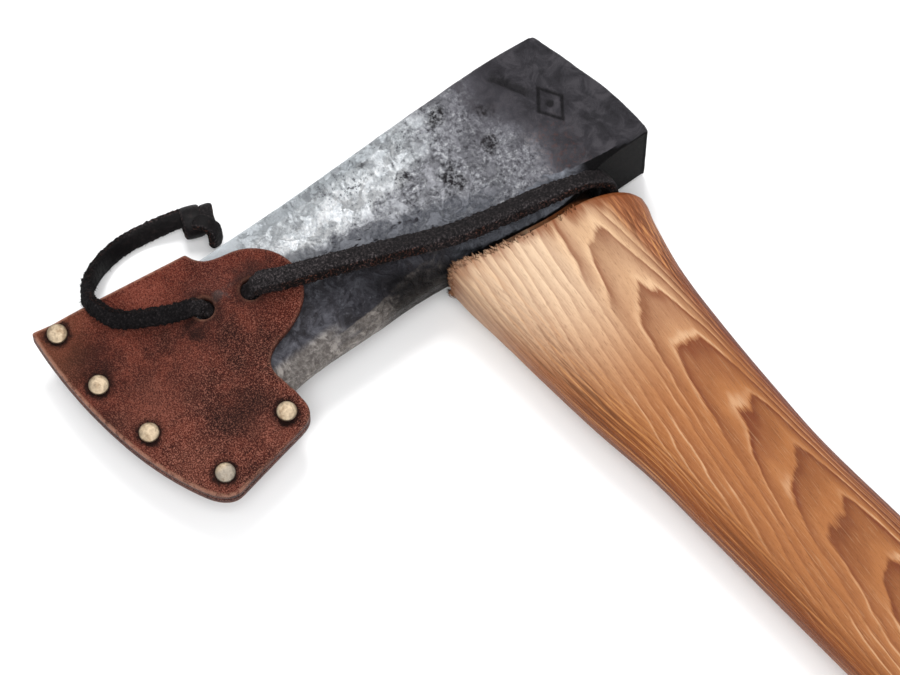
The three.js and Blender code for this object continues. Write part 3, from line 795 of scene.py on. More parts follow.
def eye_ring(inset, count):
    """The eye's outline in y and z, starting at its poll end and turning towards +z."""
    half, back, front = EYE_HALF - inset, EYE_BACK - inset, EYE_FRONT + 1.6 * inset
    quarters = [
        [(back, 0), (back, 0.8 * half), (11, half), (2, half)],
        [(2, half), (-14, half), (front, 0.55 * half), (front, 0)],
    ]
    quarters += [[(y, -z) for y, z in quarter[::-1]] for quarter in quarters[::-1]]
    t = np.linspace(0, 1, count // 4, endpoint=False)
    return np.vstack([bezier(quarter, t) for quarter in quarters])


def at_x(x, loop):
    """A loop in y and z as points at x."""
    return np.column_stack([np.full(len(loop), float(x)), loop])


ARC_COUNT = 5  # samples round each corner of the head's section


def rounded_ring(corners, radii, edge_counts):
    """Rings of points round a polygon with rounded corners. corners and radii have one
    row for each ring; edge_counts has the samples on each edge, which starts at its corner."""
    count = corners.shape[1]
    pieces = []
    edges = np.roll(corners, -1, axis=1) - corners
    lengths = np.linalg.norm(edges, axis=2)
    way = edges / np.maximum(lengths, 1e-9)[..., None]
    reach = np.minimum(radii, 0.42 * np.minimum(lengths, np.roll(lengths, 1, axis=1)))
    for k in range(count):
        corner = corners[:, k]
        before = corner - way[:, k - 1] * reach[:, k, None]
        after = corner + way[:, k] * reach[:, k, None]
        for t in np.linspace(0, 1, ARC_COUNT, endpoint=False):
            pieces.append((1 - t) ** 2 * before + 2 * t * (1 - t) * corner + t * t * after)
        nxt = (k + 1) % count
        end = corners[:, nxt] - way[:, k] * reach[:, nxt, None]
        for t in np.linspace(0, 1, edge_counts[k], endpoint=False):
            pieces.append(mix(after, end, t))
    return np.stack(pieces, axis=1)


POLL_ROUND = 0.9
POLL_BULGE = 1.5
POLL_WAY = np.array([-0.2315, 0.9728, 0])  # out of the hammer face
# samples on each flat of the section: cheek, lower cheek, keel, underside, and back again
EDGE_COUNTS = (104, 34, 10, 12, 10, 34, 104, 14)


def head_rings():
    """u, x and z of the points of the head's rings, from poll to edge."""
    poll = np.linspace(0, 0.22, 110, endpoint=False)
    cheek = np.linspace(0.22, 0.62, 170, endpoint=False)
    u = np.concatenate([poll, cheek, np.linspace(0.62, 1, 90)])
    crown, under, ridge = crown_x(u), under_x(u), ridge_x(u)
    corner = under - corner_back(u)
    half = [(crown, crown_half(u)), (ridge, ridge_half(u))]
    half += [(corner, corner_half(u)), (under, under_half(u))]
    ring = half + [(x, -z) for x, z in half[::-1]]
    corners = np.stack([np.stack(pair, 1) for pair in ring], axis=1)
    crown_radius = np.interp(u, [0, 0.2, 0.5, 0.9, 1], [0.9, 1.3, 1.4, 0.9, 0.1])
    ridge_radius = np.interp(u, [0, 0.1, 0.2, 0.6, 1], [0.6, 1.6, 4, 5, 3])
    corner_radius = np.interp(u, [0, 0.12, 0.25, 0.42, 0.5, 1], [0.6, 0.8, 1.2, 1.6, 0.7, 0.1])
    under_radius = np.interp(u, [0, 0.12, 0.25, 0.45, 0.6, 1], [0.6, 0.8, 1.2, 2.0, 1.6, 0.1])
    radii = np.stack([crown_radius, ridge_radius, corner_radius, under_radius], 1)
    radii = np.concatenate([radii, radii[:, ::-1]], axis=1)
    ring = rounded_ring(corners, radii, EDGE_COUNTS)
    return u, ring[..., 0], ring[..., 1]


def forged_share(points):
    """How much forging detail a point gets: none on the ground bit."""
    return smooth((points[:, 1] + 104) / 30)


def make_head():
    u, x, z = head_rings()
    across = np.clip((x - POLL_TOP[0]) / (POLL_BOTTOM[0] - POLL_TOP[0]), 0, 1)
    bulge = POLL_BULGE * (1 - smooth(u / 0.25))[:, None] * np.sin(math.pi * across**1.35)
    y = mix(*poll_and_edge(u[:, None], x), u[:, None])
    points = np.stack([x, y + bulge, z], axis=2)
    # the hammer face closes the poll end with shrinking rings, over a rounded rim
    rim = points[0].copy()
    middle = rim.mean(0)
    shares = (0.0, 0.15, 0.35, 0.55, 0.75, 0.9, 1.0)
    caps = [middle + (rim - middle) * share * 0.93 for share in shares]
    for degrees in (72, 54, 36, 18):
        inset = POLL_ROUND * (1 - math.cos(math.radians(degrees)))
        drop = POLL_ROUND * (1 - math.sin(math.radians(degrees)))
        caps.append(middle + (rim - middle) * (1 - inset / 15) - POLL_WAY * drop)
    fade = np.clip(1 - np.arange(6) * 0.2, 0, 1)
    points[:6] -= POLL_WAY * (POLL_ROUND * fade)[:, None, None]
    rings = np.concatenate([np.array(caps), points])
    rows, columns = rings.shape[:2]
    points = forge(rings.reshape(-1, 3))
    faces = tube_faces(rows, columns)
    steel = steel_material()
    head = make_piece(
        "hatchet_head", points, faces, steel, "axe", ["head"], crusted(points)
    )
    eye = eye_ring(0.0, 96)
    points, faces = np.vstack([at_x(-40, eye), at_x(40, eye)]), tube_faces(2, len(eye))
    cut_away(head, make_piece("eye_cutter", points, faces, steel, None))


# plan place and reach of the cheek's groups of pits
PIT_CLUSTERS = [
    (-16, -6.5, 3), (-9.6, 5.9, 2.8), (0.8, -12.8, 3.4), (-7, -24, 2.2), (-17.4, -31, 2.4),
    (-1, 1, 2.4),
]


def forge(points):
    """Hammer marks, flaked scale, pits, an old forging lap and a punched lozenge."""
    side = np.sign(points[:, 2])
    x, y = points[:, 0], points[:, 1]
    on_cheek = smooth((np.abs(points[:, 2]) - 1.0) / 2)
    mask = forged_share(points)
    broad = fractal(points, 19, 2, 1.7) * 0.26 + fractal(points, 7, 2, 9.2) * 0.1
    scaly = smooth((y + 66) / 16) * (1 - smooth((y - 6) / 12))
    flakes = fractal(points, 6.5, 3, 4.4)
    terraces = 0.12 * smooth((flakes - 0.03) / 0.06) + 0.1 * smooth((flakes - 0.22) / 0.06)
    clusters = np.clip(np.exp(-(pit_distances(points) ** 2)).sum(0) * 1.5, 0, 1)
    pits = clusters * (0.24 + 0.55 * np.clip(fractal(points, 2.1, 2, 6.8), -0.5, 0.5))
    crust = fractal(points, 1.2, 2, 6.1) * (0.07 + 0.12 * clusters)
    mark = punch_mark(x, y) * (side > 0)
    depth = broad * 0.8 * mask + (terraces - pits + crust) * scaly + crust * 0.8 * mask
    depth = depth - 0.4 * mark - forging_lap(points) * (side > 0)
    shifted = points.copy()
    shifted[:, 2] += side * on_cheek * depth
    rough_edge = (fractal(points, 8, 2, 7.7) * 0.22 + fractal(points, 2.2, 2, 3.9) * 0.07) * mask
    shifted[:, 0] += rough_edge * (1 - on_cheek)
    poll = fractal(points, 8, 2, 5.5) * 0.2 + fractal(points, 2.5, 2, 1.9) * 0.06
    shifted[:, 1] += poll * smooth((y - 20) / 8)
    return shifted


def pit_distances(points):
    """Each point's distance to each group of pits, as a share of the group's reach."""
    x, y = points[:, 0], points[:, 1]
    return np.array([np.hypot(x - px, y - py) / reach for px, py, reach in PIT_CLUSTERS])


def crusted(points):
    """The groups of pits and the punched mark as attributes for the material."""
    away = np.min(pit_distances(points), axis=0) + fractal(points, 4, 3, 2.6) * 0.8
    x, y, z = points.T
    shares = {"crusted": smooth((1.25 - away) / 0.7), "punched": punch_mark(x, y)}
    return {key: share * (z > 0) for key, share in shares.items()}


LAP_CENTRE = (-12.0, 15.5)
LAP_WAY = (0.86, 0.51)


def lap_axes(x, y):
    """Distances along and across the forging lap; x and y are arrays or fields."""
    dx, dy = x - LAP_CENTRE[0], y - LAP_CENTRE[1]
    return dx * LAP_WAY[0] + dy * LAP_WAY[1], dx * -LAP_WAY[1] + dy * LAP_WAY[0]


def forging_lap(points):
    """Depth of a shallow gouge across the crown side of the cheek, by the poll."""
    along, across = lap_axes(points[:, 0], points[:, 1])
    across = across + fractal(points, 3.5, 2, 3.4) * 0.9
    ends = smooth((6.5 - np.abs(along)) / 2.5)
    step = smooth((across + 2.2) / 1.2) * (1 - smooth((across - 0.4) / 3.0))
    return 0.5 * ends * step


MARK_CENTRE = (-0.8, 20.5)


def punch_mark(x, y):
    """1 on the strokes of a lozenge with a dot, 0 elsewhere."""
    dx, dy = x - MARK_CENTRE[0], y - MARK_CENTRE[1]
    size = np.abs(dx) / 5.6 + np.abs(dy) / 3.8
    outline = 1 - smooth((np.abs(size - 1) - 0.08) / 0.12)
    dot = 1 - smooth((np.hypot(dx, dy) - 0.8) / 0.5)
    return np.maximum(outline, dot)


def steel_material():
    s = Shader("forged_steel")
    fine = s.noise(0.4, 4, 0.7)
    grit = s.noise(1.2, 5, 0.7, shift=(3, 8, 2))
    mottled = s.noise(4.6, 6, 0.66, 0.6, shift=(1, 4, 2))
    patches = s.noise(13, 3, 0.55, shift=(3, 1, 8))
    brushed = s.noise((0.45, 14, 0.45), 3, 0.5, shift=(2, 2, 2))
    wander = patches.fade(0.3, 0.7, -6, 6, soft=False)
    flecks = mottled.fade(0.3, 0.7, -4, 4, soft=False)
    # dark scale at the poll, greyer along the cheek, and pale towards the bit
    along = s.y + s.x * -0.25 + wander + flecks
    s.color = s.ramp(
        along.fade(30, -80, soft=False),
        [
            (0.0, (38, 37, 40)), (0.12, (46, 44, 48)), (0.22, (76, 74, 80)),
            (0.42, (134, 134, 139)), (0.66, (166, 168, 172)),
        ],
    )
    speckle = s.ramp(
        grit,
        [
            (0.32, (62, 61, 65)), (0.46, (122, 122, 127)), (0.56, (178, 179, 184)),
            (0.66, (240, 241, 243)),
        ],
    )
    broken = along.fade(14, -10) * along.fade(-70, -50)
    broken = broken * mottled.fade(0.4, 0.56, 0.2, 0.75)
    s.paint(broken, speckle)
    scale = s.ramp(mottled, [(0.38, (28, 26, 29)), (0.5, (48, 46, 50)), (0.62, (70, 67, 71))])
    s.paint(along.fade(2, 12, 0, 0.6), scale)
    # pale steel down the crown side, a smooth grey rim, and a white streak: a painted highlight
    # that stands for the softbox's reflection
    lean = s.x + s.y * 0.07 + flecks * 0.5
    pale = lean.fade(-7.5, -12.5) * along.fade(-1, -22)
    pale_tone = s.ramp(
        grit, [(0.3, (164, 168, 172)), (0.5, (198, 202, 205)), (0.66, (230, 233, 235))]
    )
    s.paint(pale * 0.92, pale_tone)
    # painted highlight: the streak is a reflection of the light, put into the colour
    highlight_streak = lean.fade(-18.5, -16) * lean.fade(-6.5, -10.5)
    highlight_streak = highlight_streak * (along.fade(-15, -30) * mottled.fade(0.36, 0.5, 0.5, 1))
    highlight_white = s.ramp(
        grit, [(0.34, (188, 193, 197)), (0.46, (232, 235, 238)), (0.6, (253, 254, 255))]
    )
    s.paint(highlight_streak, highlight_white)
    rim = s.x.fade(-17.4, -18.4) * along.fade(-15, -28)
    s.paint(rim * 0.9, (180, 185, 189))
    # dark scale clings in bruises; a smoother dark band runs beside the lace
    bruise = s.noise(6, 5, 0.65, shift=(9, 3, 1)).fade(0.52, 0.57)
    bruise = bruise * (along.fade(16, 4) * along.fade(-62, -50))
    s.paint(bruise * 0.4, (60, 59, 63))
    specks = grit.fade(0.43, 0.37) * mottled.fade(0.44, 0.52)
    specks = specks * (along.fade(14, 4) * along.fade(-50, -36))
    s.paint(specks * 0.7, (58, 56, 60))
    s.paint(s.attribute("crusted") * (grit.fade(0.56, 0.44) * 0.5 + 0.42), (36, 33, 35))
    beside = s.x - (s.y * 0.33 + 20.0)
    beside = beside + flecks * 0.4
    calm = beside.fade(-11, -7.5) * along.fade(4, -18)
    s.paint(calm * 0.75, (84, 86, 93))
    rust = s.x.fade(0, 6) * (s.y.fade(6, 12) * s.y.fade(23, 16))
    rust = rust * grit.fade(0.5, 0.62)
    s.paint(rust * 0.4, (78, 50, 44))
    # below the lace the cheek is painted dark: its dark scale, and painted shade on the lower
    # facet, which faces away from the light
    below = beside.fade(-1.5, 1.5) * s.y.fade(-104, -88)
    dark = s.ramp(grit, [(0.3, (24, 23, 25)), (0.5, (44, 43, 47)), (0.64, (100, 100, 106))])
    dull = s.ramp(mottled, [(0.38, (34, 32, 35)), (0.5, (58, 57, 62)), (0.62, (88, 88, 94))])
    dark = s.blend(0.5, dark, dull)
    s.paint(below * s.y.fade(22, 14), dark)
    # painted shade and light: the lower facet, picked by the way it faces, is painted dull and
    # dark, with a lit, lighter strip along the eye's lug
    facing = s.facing_x()
    below_ridge = beside.fade(-11, -8.5) * s.y.fade(-104, -88)
    lower = facing.fade(0.08, 0.2) * below_ridge
    lit_lug_tone = s.ramp(mottled, [(0.36, (58, 59, 64)), (0.62, (122, 125, 133))])
    lug = s.y.fade(-27, -21) * s.y.fade(17, 12)
    s.paint(lower, s.blend(lug, dull, lit_lug_tone))
    # painted shadow: near-black in the hollow under the lug, by the handle's shoulder
    ragged_y = s.y + flecks * 0.8
    recess_shadow = ragged_y.fade(-52, -42) * (s.y.fade(-20, -27) * beside.fade(4, 8))
    scar_along, scar_across = lap_axes(s.x, s.y)
    scar_across = scar_across + flecks * 0.2
    scar = scar_across.fade(-2.6, -1.6) * scar_across.fade(1.6, -0.2)
    scar = scar * s.math("ABSOLUTE", scar_along).fade(7.5, 4.5)
    s.paint(scar * 0.7, (12, 11, 12))
    s.paint(s.attribute("punched") * 0.8, (13, 12, 13))
    # the keel and the underside of the blade are rubbed bare; the poll's facets, which face away
    # from the light, are painted black as shade
    under = facing.fade(0.62, 0.86)
    bare = s.ramp(grit, [(0.36, (82, 76, 72)), (0.5, (104, 98, 94)), (0.64, (134, 128, 123))])
    bare = s.blend(mottled.fade(0.5, 0.62, 0, 0.7), bare, (168, 161, 154))
    s.paint(under * s.y.fade(-24, -30), bare)
    # painted shadow under the lug
    s.paint(recess_shadow * 0.9, (13, 11, 12))
    worn_keel = s.x.fade(12.6, 15.2) * s.y.fade(-58, -66)
    s.paint(worn_keel * 0.8, bare)
    # painted shade: near-black on the underside and the lower facet by the eye and the poll
    shaded_poll_facets = s.math("MAXIMUM", under * s.y.fade(-28, -22), lower * s.y.fade(14, 18))
    s.paint(shaded_poll_facets, (5, 4, 5))
    ground = s.ramp(brushed, [(0.3, (150, 152, 155)), (0.7, (206, 208, 210))])
    s.paint(s.y.fade(-100, -106), ground)
    rough = fine.fade(0.3, 0.7, 0.32, 0.48) + shaded_poll_facets * 0.35
    bright = s.math("MAXIMUM", s.math("MAXIMUM", highlight_streak, pale), s.y.fade(-98, -104))
    metal = s.math("MAXIMUM", bright * 0.65, broken * 0.6)
    height = grit * broken.fade(0, 1, 0.6, 1.5) + fine * 0.35
    steps = mottled.fade(0.47, 0.49) + mottled.fade(0.57, 0.585)
    height = steps * broken.fade(0, 0.6, 0.05, 0.22) + height
    return s.finish(
        Metallic=metal, Roughness=rough, Normal=s.bump(height, 0.85), Specular_IOR_Level=0.1
    )


make_head()


# ---- handle --------------------------------------------------------------------------
# x, the middle's y, half the width and half the thickness
HANDLE = [
    (27, -0.9, 27.6, 13.4), (33, -0.6, 27.2, 13.5), (40, -0.4, 25.9, 13.3), (55, -0.5, 24.0, 12.7),
    (75, 0.9, 22.4, 12.1), (96, 3.3, 20.6, 11.7), (115, 5.1, 19.9, 11.6), (145, 9.0, 20.0, 11.9),
    (173, 12.6, 19.9, 12.4), (210, 16.6, 19.2, 13.0), (255, 20.0, 18.2, 13.3),
    (300, 21.2, 17.5, 13.2), (345, 20.2, 17.2, 13.0), (385, 17.2, 17.8, 13.2),
    (420, 12.9, 19.6, 13.8), (445, 9.2, 21.6, 14.4), (462, 7.0, 22.3, 14.6),
    (472, 6.2, 21.2, 13.9), (478, 6.0, 18.4, 12.0),
]
handle_centre, handle_half, handle_thick = (
    profile([(row[0], row[k]) for row in HANDLE]) for k in (1, 2, 3)
)
oval_power = profile([(27, 4), (45, 3.1), (75, 2.5), (110, 2.35)])
shoulder_x = profile(
    [
        (-30, 20.6), (-26.5, 20.9), (-19, 22.0), (-9, 24.4), (0, 26.0), (7.5, 26.0), (14, 26.5),
        (20.5, 28.0), (24.5, 29.8), (28, 32.0),
    ]
)
HANDLE_SIDES = 240
SHOULDER = 27.0
BUTT = 478.0
BUTT_ROUND = 2.2
TONGUE_TOP = -22.2
GAP = 0.3


def handle_ring(x, inset=0.0):
    angle = np.arange(HANDLE_SIDES) * 2 * np.pi / HANDLE_SIDES
    c, s = np.cos(angle), np.sin(angle)
    bend = 2 / oval_power(x)
    y = handle_centre(x) + (handle_half(x) - inset) * np.sign(c) * np.abs(c) ** bend
    z = (handle_thick(x) - inset) * np.sign(s) * np.abs(s) ** bend
    slant = (shoulder_x(y) - SHOULDER) * (1 - smooth((x - SHOULDER) / 16))
    return np.stack([x + slant, y, z], 1)


def make_handle():
    rings = []
    eye = eye_ring(GAP, HANDLE_SIDES)
    tongue_end = at_x(TONGUE_TOP, eye)
    middle = tongue_end.mean(0)
    for share in (0.25, 0.5, 0.75, 0.96):
        rings.append(middle + (tongue_end - middle) * share)
    for x in (TONGUE_TOP + 0.4, -12.0, 0.0, 12.0, 20.0):
        rings.append(at_x(x, eye))
    rim = handle_ring(SHOULDER)
    foot = np.column_stack([shoulder_x(eye[:, 0]), eye])
    rounding = 0.35 + 2.9 * smooth((rim[:, 1] - 6) / 18)  # the back corner is well rounded
    inner = handle_ring(SHOULDER, rounding)
    for share in (0.0, 0.35, 0.7, 0.92):
        rings.append(mix(foot, inner, share))
    for angle in np.radians((0, 15, 30, 45, 60, 75)):
        ring = handle_ring(SHOULDER, rounding * (1 - math.sin(angle)))
        ring[:, 0] += rounding * (1 - math.cos(angle))
        rings.append(ring)
    for x in np.arange(SHOULDER + 0.6, SHOULDER + 12, 0.6):
        ring = handle_ring(x)
        ring[:, 0] = np.maximum(ring[:, 0], rings[-1][:, 0] + 0.12)
        rings.append(ring)
    for x in np.arange(SHOULDER + 12.6, BUTT - 3, 1.8):
        rings.append(handle_ring(x))
    for angle in np.radians((0, 20, 40, 60, 80)):
        x = BUTT - BUTT_ROUND * (1 - math.sin(angle))
        rings.append(handle_ring(x, BUTT_ROUND * (1 - math.cos(angle))))
    last = rings[-1]
    middle = last.mean(0)
    for share in (0.9, 0.7, 0.45):
        rings.append(middle + (last - middle) * share + np.array([0.12 * (1 - share), 0, 0]))
    rings = np.array(rings)
    rows = len(rings)
    points = whittle(rings.reshape(-1, 3))
    faces = ring_faces(rows, HANDLE_SIDES)
    # each end closes on a point in its middle
    first, last = len(points), len(points) + 1
    points = np.vstack([points, points[:HANDLE_SIDES].mean(0), points[-HANDLE_SIDES:].mean(0)])
    for k in range(HANDLE_SIDES):
        n, butt = (k + 1) % HANDLE_SIDES, (rows - 1) * HANDLE_SIDES
        faces += [(first, k, n), (last, butt + k, butt + n)]
    return make_piece("ash_handle", points, faces, ash_material(), "axe", ["handle"])


def whittle(points):
    """The turned surface's slight waves, and the torn fibres at the shoulder."""
    x, y, z = points.T
    shifted = points.copy()
    waves = fractal(points, 22, 2, 2.5, squeeze=(3, 1, 1)) * 0.22 * smooth((x - 30) / 20)
    radial = np.stack([0 * x, (y - handle_centre(x)) / 2, z], 1)
    radial /= np.maximum(np.linalg.norm(radial, axis=1), 1e-6)[:, None]
    shifted += radial * waves[:, None]
    outside = (np.abs(z) > EYE_HALF + 0.6) | (y < EYE_FRONT - 1.2)
    near = (1 - smooth((x - shoulder_x(y)) / 3.5)) * smooth((8 - y) / 14) * outside
    fibres = fractal(points, 1.9, 2, 3.3, squeeze=(60, 1, 1)) * 0.55
    fibres = fibres + np.clip(fractal(points, 0.9, 2, 1.3, squeeze=(60, 1, 1)), -0.1, 1) * 0.75
    worn = smooth((-19 - y) / 6) * smooth((np.abs(z) - 4) / 4)
    shifted[:, 0] += near * (fibres * 1.5 - 1.3 * worn)
    splinters = np.clip(fractal(points, 0.7, 2, 7.3, squeeze=(60, 1, 1)), -0.2, 1)
    shifted += radial * (near * (0.3 * fibres + 0.35 * splinters))[:, None]
    return shifted


def ash_material():
    s = Shader("ash_wood")
    drift = s.noise((60, 14, 14), 2, 0.5, shift=(1, 2, 3))
    lobes = s.noise((22, 6, 6), 2, 0.5, shift=(4, 2, 9))
    fibre = s.noise((10, 0.32, 0.32), 4, 0.62)
    pore = s.noise((3.2, 0.2, 0.2), 2, 0.5, shift=(7, 7, 7))
    # growth rings: bent sheets that lie nearly along the handle, so they surface as long
    # arches whose blunt tips point at the head, crowded together towards the back edge
    axis = s.x * s.x * -0.0001 + (s.x * 0.088 + 8.2)
    off = s.y - axis
    level = s.attribute("cross") * 22
    edgewise = s.first("CombineXYZ", X=s.x, Y=level, Z=s.z)
    lines = s.noise((60, 0.8, 0.8), 3, 0.6, shift=(5, 3, 1), vector=edgewise)
    slow = s.noise((150, 50, 50), 2, shift=(3, 2, 2))
    right = s.math("MAXIMUM", off, 0)
    left = s.math("EXPONENT", (off * -1 - 12) / 3)
    left = s.math("LOGARITHM", left + 1, math.e)
    fall = left * 2.58 + right * (right * 0.07 + 0.45)
    sheet = s.x * 0.11 - fall
    sheet = s.math("MINIMUM", s.z, 9.5) * 0.5 + sheet
    sheet = sheet + drift.fade(0.25, 0.75, -0.75, 0.75, soft=False)
    slow = slow.fade(0.3, 0.7, -2.6, 2.6) * s.x.fade(130, 230)
    sheet = sheet + slow
    wavy = off.fade(-2, -10, 0.36, 0.62)
    sheet = lobes.fade(0.25, 0.75, -1, 1, soft=False) * wavy + sheet
    sheet = sheet + fibre.fade(0.2, 0.8, -0.11, 0.11, soft=False)
    ring = s.math("FRACT", sheet * (1 / 2.15) + 0.877)
    late = s.ramp(
        ring,
        [
            (0.0, (255, 255, 255)), (0.1, (246, 246, 246)), (0.24, (208, 208, 208)),
            (0.5, (170, 170, 170)), (0.72, (84, 84, 84)), (0.86, (8, 8, 8)), (0.92, (8, 8, 8)),
            (1.0, (230, 230, 230)),
        ],
    )
    late = s.first("SeparateColor", Color=late)
    flame = s.noise((40, 9, 9), 2, shift=(2, 5, 5))
    belly_side = off.fade(-9, -17)
    strength = flame.fade(0.38, 0.6, 0.66, 0.92) + s.x.fade(40, 110, -0.1, 0.2)
    late = late * (strength * belly_side.fade(0, 1, 1, 0.52))
    pale = s.ramp(flame, [(0.3, (184, 146, 111)), (0.7, (198, 164, 131))])
    # the belly side near the head is painted paler: pale wood with a painted highlight on it
    pale = s.blend(belly_side * s.x.fade(90, 35), pale, (206, 178, 149))
    brown = s.ramp(flame, [(0.3, (92, 42, 18)), (0.7, (112, 56, 29))])
    # the wood is redder and deeper down the handle
    pale = s.blend(s.x.fade(32, 92), pale, (208, 167, 128), "MULTIPLY")
    s.color = s.blend(late, pale, brown)
    cream = ring.fade(0.72, 0.87) * ring.fade(0.96, 0.88)
    s.paint(cream * flame.fade(0.42, 0.62, 0, 0.4), (216, 182, 146))
    s.paint(fibre.fade(0.5, 0.72, 0, 0.3), (112, 66, 36))
    s.paint(fibre.fade(0.46, 0.3, 0, 0.25), (190, 152, 112))
    s.paint(pore.fade(0.6, 0.72, 0, 0.4), (84, 48, 28))
    # painted shade: the handle's sides are darker where they turn away from the light, and darker
    # still along the belly and back edges
    edge_shade = s.math("ABSOLUTE", s.z).fade(10.0, 3.0) * s.x.fade(30, 60, 0.35, 1)
    s.paint(edge_shade, (204, 146, 98), "MULTIPLY")
    shaded_belly_edge = (s.y - s.x * 0.09).fade(-15, -26)
    shaded_belly_edge = shaded_belly_edge * s.x.fade(28, 80, 0.2, 0.8)
    s.paint(shaded_belly_edge * 0.8, (122, 68, 28))
    back = off.fade(3.5, 7) * s.x.fade(140, 60, 0.45, 0.75)
    s.paint(back, (200, 136, 86), "MULTIPLY")
    # closely packed rings show as fine lines on the two edges
    packed = s.math("MAXIMUM", shaded_belly_edge, back)
    s.paint(packed * lines.fade(0.5, 0.6, 0, 0.75), (66, 32, 12))
    s.paint(packed * lines.fade(0.46, 0.36, 0, 0.6), (206, 148, 88))
    # the shoulder's rim is scorched, most at its back corner; under it the wood is painted
    # near-black, grime together with the shade of the gap under the head
    from_rim = s.x - (s.y * 0.16 + 24.8)
    reach = from_rim + (lobes.fade(0.3, 0.7, -3, 3) + fibre.fade(0.3, 0.7, -1, 1))
    scorched = reach.fade(5.5, 0) * s.y.fade(-24, 12, 0.5, 0.85)
    s.paint(scorched, (112, 56, 22))
    corner = reach.fade(14, 4) * s.y.fade(15, 22)
    s.paint(corner * 0.4, (116, 60, 28))
    facing = s.facing_x()
    # painted shade with grime: the faces turned towards the head and the tongue in the eye
    gap_shade_and_grime = facing.fade(-0.75, -0.93) * s.x.fade(12, 16)
    s.paint(s.math("MAXIMUM", gap_shade_and_grime, from_rim.fade(-1.8, -3.2)), (24, 15, 11))
    crown_end = s.x.fade(-20.5, -21.5)
    s.paint(crown_end * 0.8, (140, 98, 62))
    height = fibre * 0.7 + pore * -0.6
    return s.finish(
        Roughness=fibre.fade(0.3, 0.7, 0.4, 0.55), Normal=s.bump(height, 0.25),
        Specular_IOR_Level=0.15,
    )


HANDLE_PIECE = make_handle()


def make_splinters(count=640):
    """Torn fibres that stand off the shoulder's rim on the side of the belly and the cheeks."""
    rng = np.random.default_rng(11)
    rim = whittle(handle_ring(SHOULDER + 0.5))
    rim = rim[rim[:, 1] < 9]
    roots = rim[rng.integers(0, len(rim), count)] + rng.normal(0, 0.25, (count, 3))
    x, y, z = roots.T
    out = unit(np.stack([0 * x, (y - handle_centre(SHOULDER)) / 2, z], 1))
    way = out * rng.uniform(0.05, 0.5, (count, 1)) + rng.normal(0, 0.12, (count, 3))
    way = unit(way + (-1, 0, 0))
    beside = unit(np.cross(way, out))
    width, length = rng.uniform(0.12, 0.34, (count, 1)), rng.uniform(0.4, 1.4, (count, 1))
    tails = roots - way * length * 1.6 - out * 0.35
    middle = roots + out * 0.08
    corners = [tails, middle + beside * width, middle - beside * width]
    corners += [middle - out * width * 0.8, roots + way * length]
    points = np.stack(corners, 1).reshape(-1, 3)
    faces = []
    for k in range(0, 5 * count, 5):
        faces += [(k, k + 1, k + 2), (k, k + 2, k + 3), (k, k + 3, k + 1)]
        faces += [(k + 4, k + 2, k + 1), (k + 4, k + 3, k + 2), (k + 4, k + 1, k + 3)]
    ash = HANDLE_PIECE.data.materials[0]
    make_piece("shoulder_splinters", points, faces, ash, "axe", ["handle"])


make_splinters()


# ---- wedges --------------------------------------------------------------------------
# half length, thickness at the top and at the tip, depth, and turn in degrees
WOOD_WEDGE = (13.0, 4.2, 1.2, 28.0, 0.0)
STEEL_WEDGE = (7.5, 2.0, 0.67, 11.0, 62.0)


def wedge_block(half_length, top, tip, depth, turn, grow=0.0, rounding=0.25, dent=0.0):
    """A driven wedge as a bevelled, slightly battered block, or a larger one to cut with."""
    mesh = bmesh.new()
    corners = []
    start = TONGUE_TOP - 10 * grow
    end = TONGUE_TOP + depth + grow
    for x, thick in ((start, top / 2 + grow), (end, tip / 2 + grow)):
        for y in (-half_length - grow, half_length + grow):
            for z in (-thick, thick):
                corners.append(mesh.verts.new((x, y, z)))
    for quad in ("0132", "4675", "0451", "2376", "0264", "1573"):
        mesh.faces.new([corners[int(k)] for k in quad])
    bmesh.ops.recalc_face_normals(mesh, faces=mesh.faces)
    if rounding:
        bmesh.ops.bevel(
            mesh, geom=mesh.edges[:], offset=rounding, segments=3, affect="EDGES", profile=0.5
        )
    bmesh.ops.subdivide_edges(mesh, edges=mesh.edges[:], cuts=3, use_grid_fill=True)
    turned_by = Matrix.Rotation(math.radians(turn), 3, "X")
    points = np.array([turned_by @ vertex.co for vertex in mesh.verts])
    mesh.verts.index_update()
    faces = [[v.index for v in face.verts] for face in mesh.faces]
    mesh.free()
    near_top = 1 - smooth((points[:, 0] - start) / 2.0)
    points[:, 0] += near_top * fractal(points, 2.2, 3, 1.1) * dent
    return points, faces


def end_grain_material(name, tone):
    s = Shader(name)
    pores = s.cells(0.55)
    fibre = s.noise((6, 0.5, 0.4), 3, 0.6)
    stain = s.noise(5, 3, shift=(3, 3, 1))
    dark = tuple(0.55 * c for c in tone)
    s.color = s.ramp(fibre, [(0.3, dark), (0.7, tone)])
    s.paint(pores.fade(0.25, 0.05, 0, 0.5), tuple(0.35 * c for c in tone))
    s.paint(stain.fade(0.5, 0.7, 0, 0.45), (70, 48, 34))
    return s.finish(Roughness=0.62, Normal=s.bump(fibre, 0.2))


def bright_steel_material():
    s = Shader("bright_steel")
    fine = s.noise(0.6, 4, 0.6)
    spots = s.noise(2.2, 4, 0.6, shift=(4, 4, 2))
    s.color = s.ramp(fine, [(0.3, (118, 118, 120)), (0.7, (186, 186, 188))])
    s.paint(spots.fade(0.55, 0.68, 0, 0.7), (86, 62, 48))
    return s.finish(
        Metallic=0.9, Roughness=fine.fade(0.3, 0.7, 0.3, 0.5), Normal=s.bump(spots, 0.2)
    )


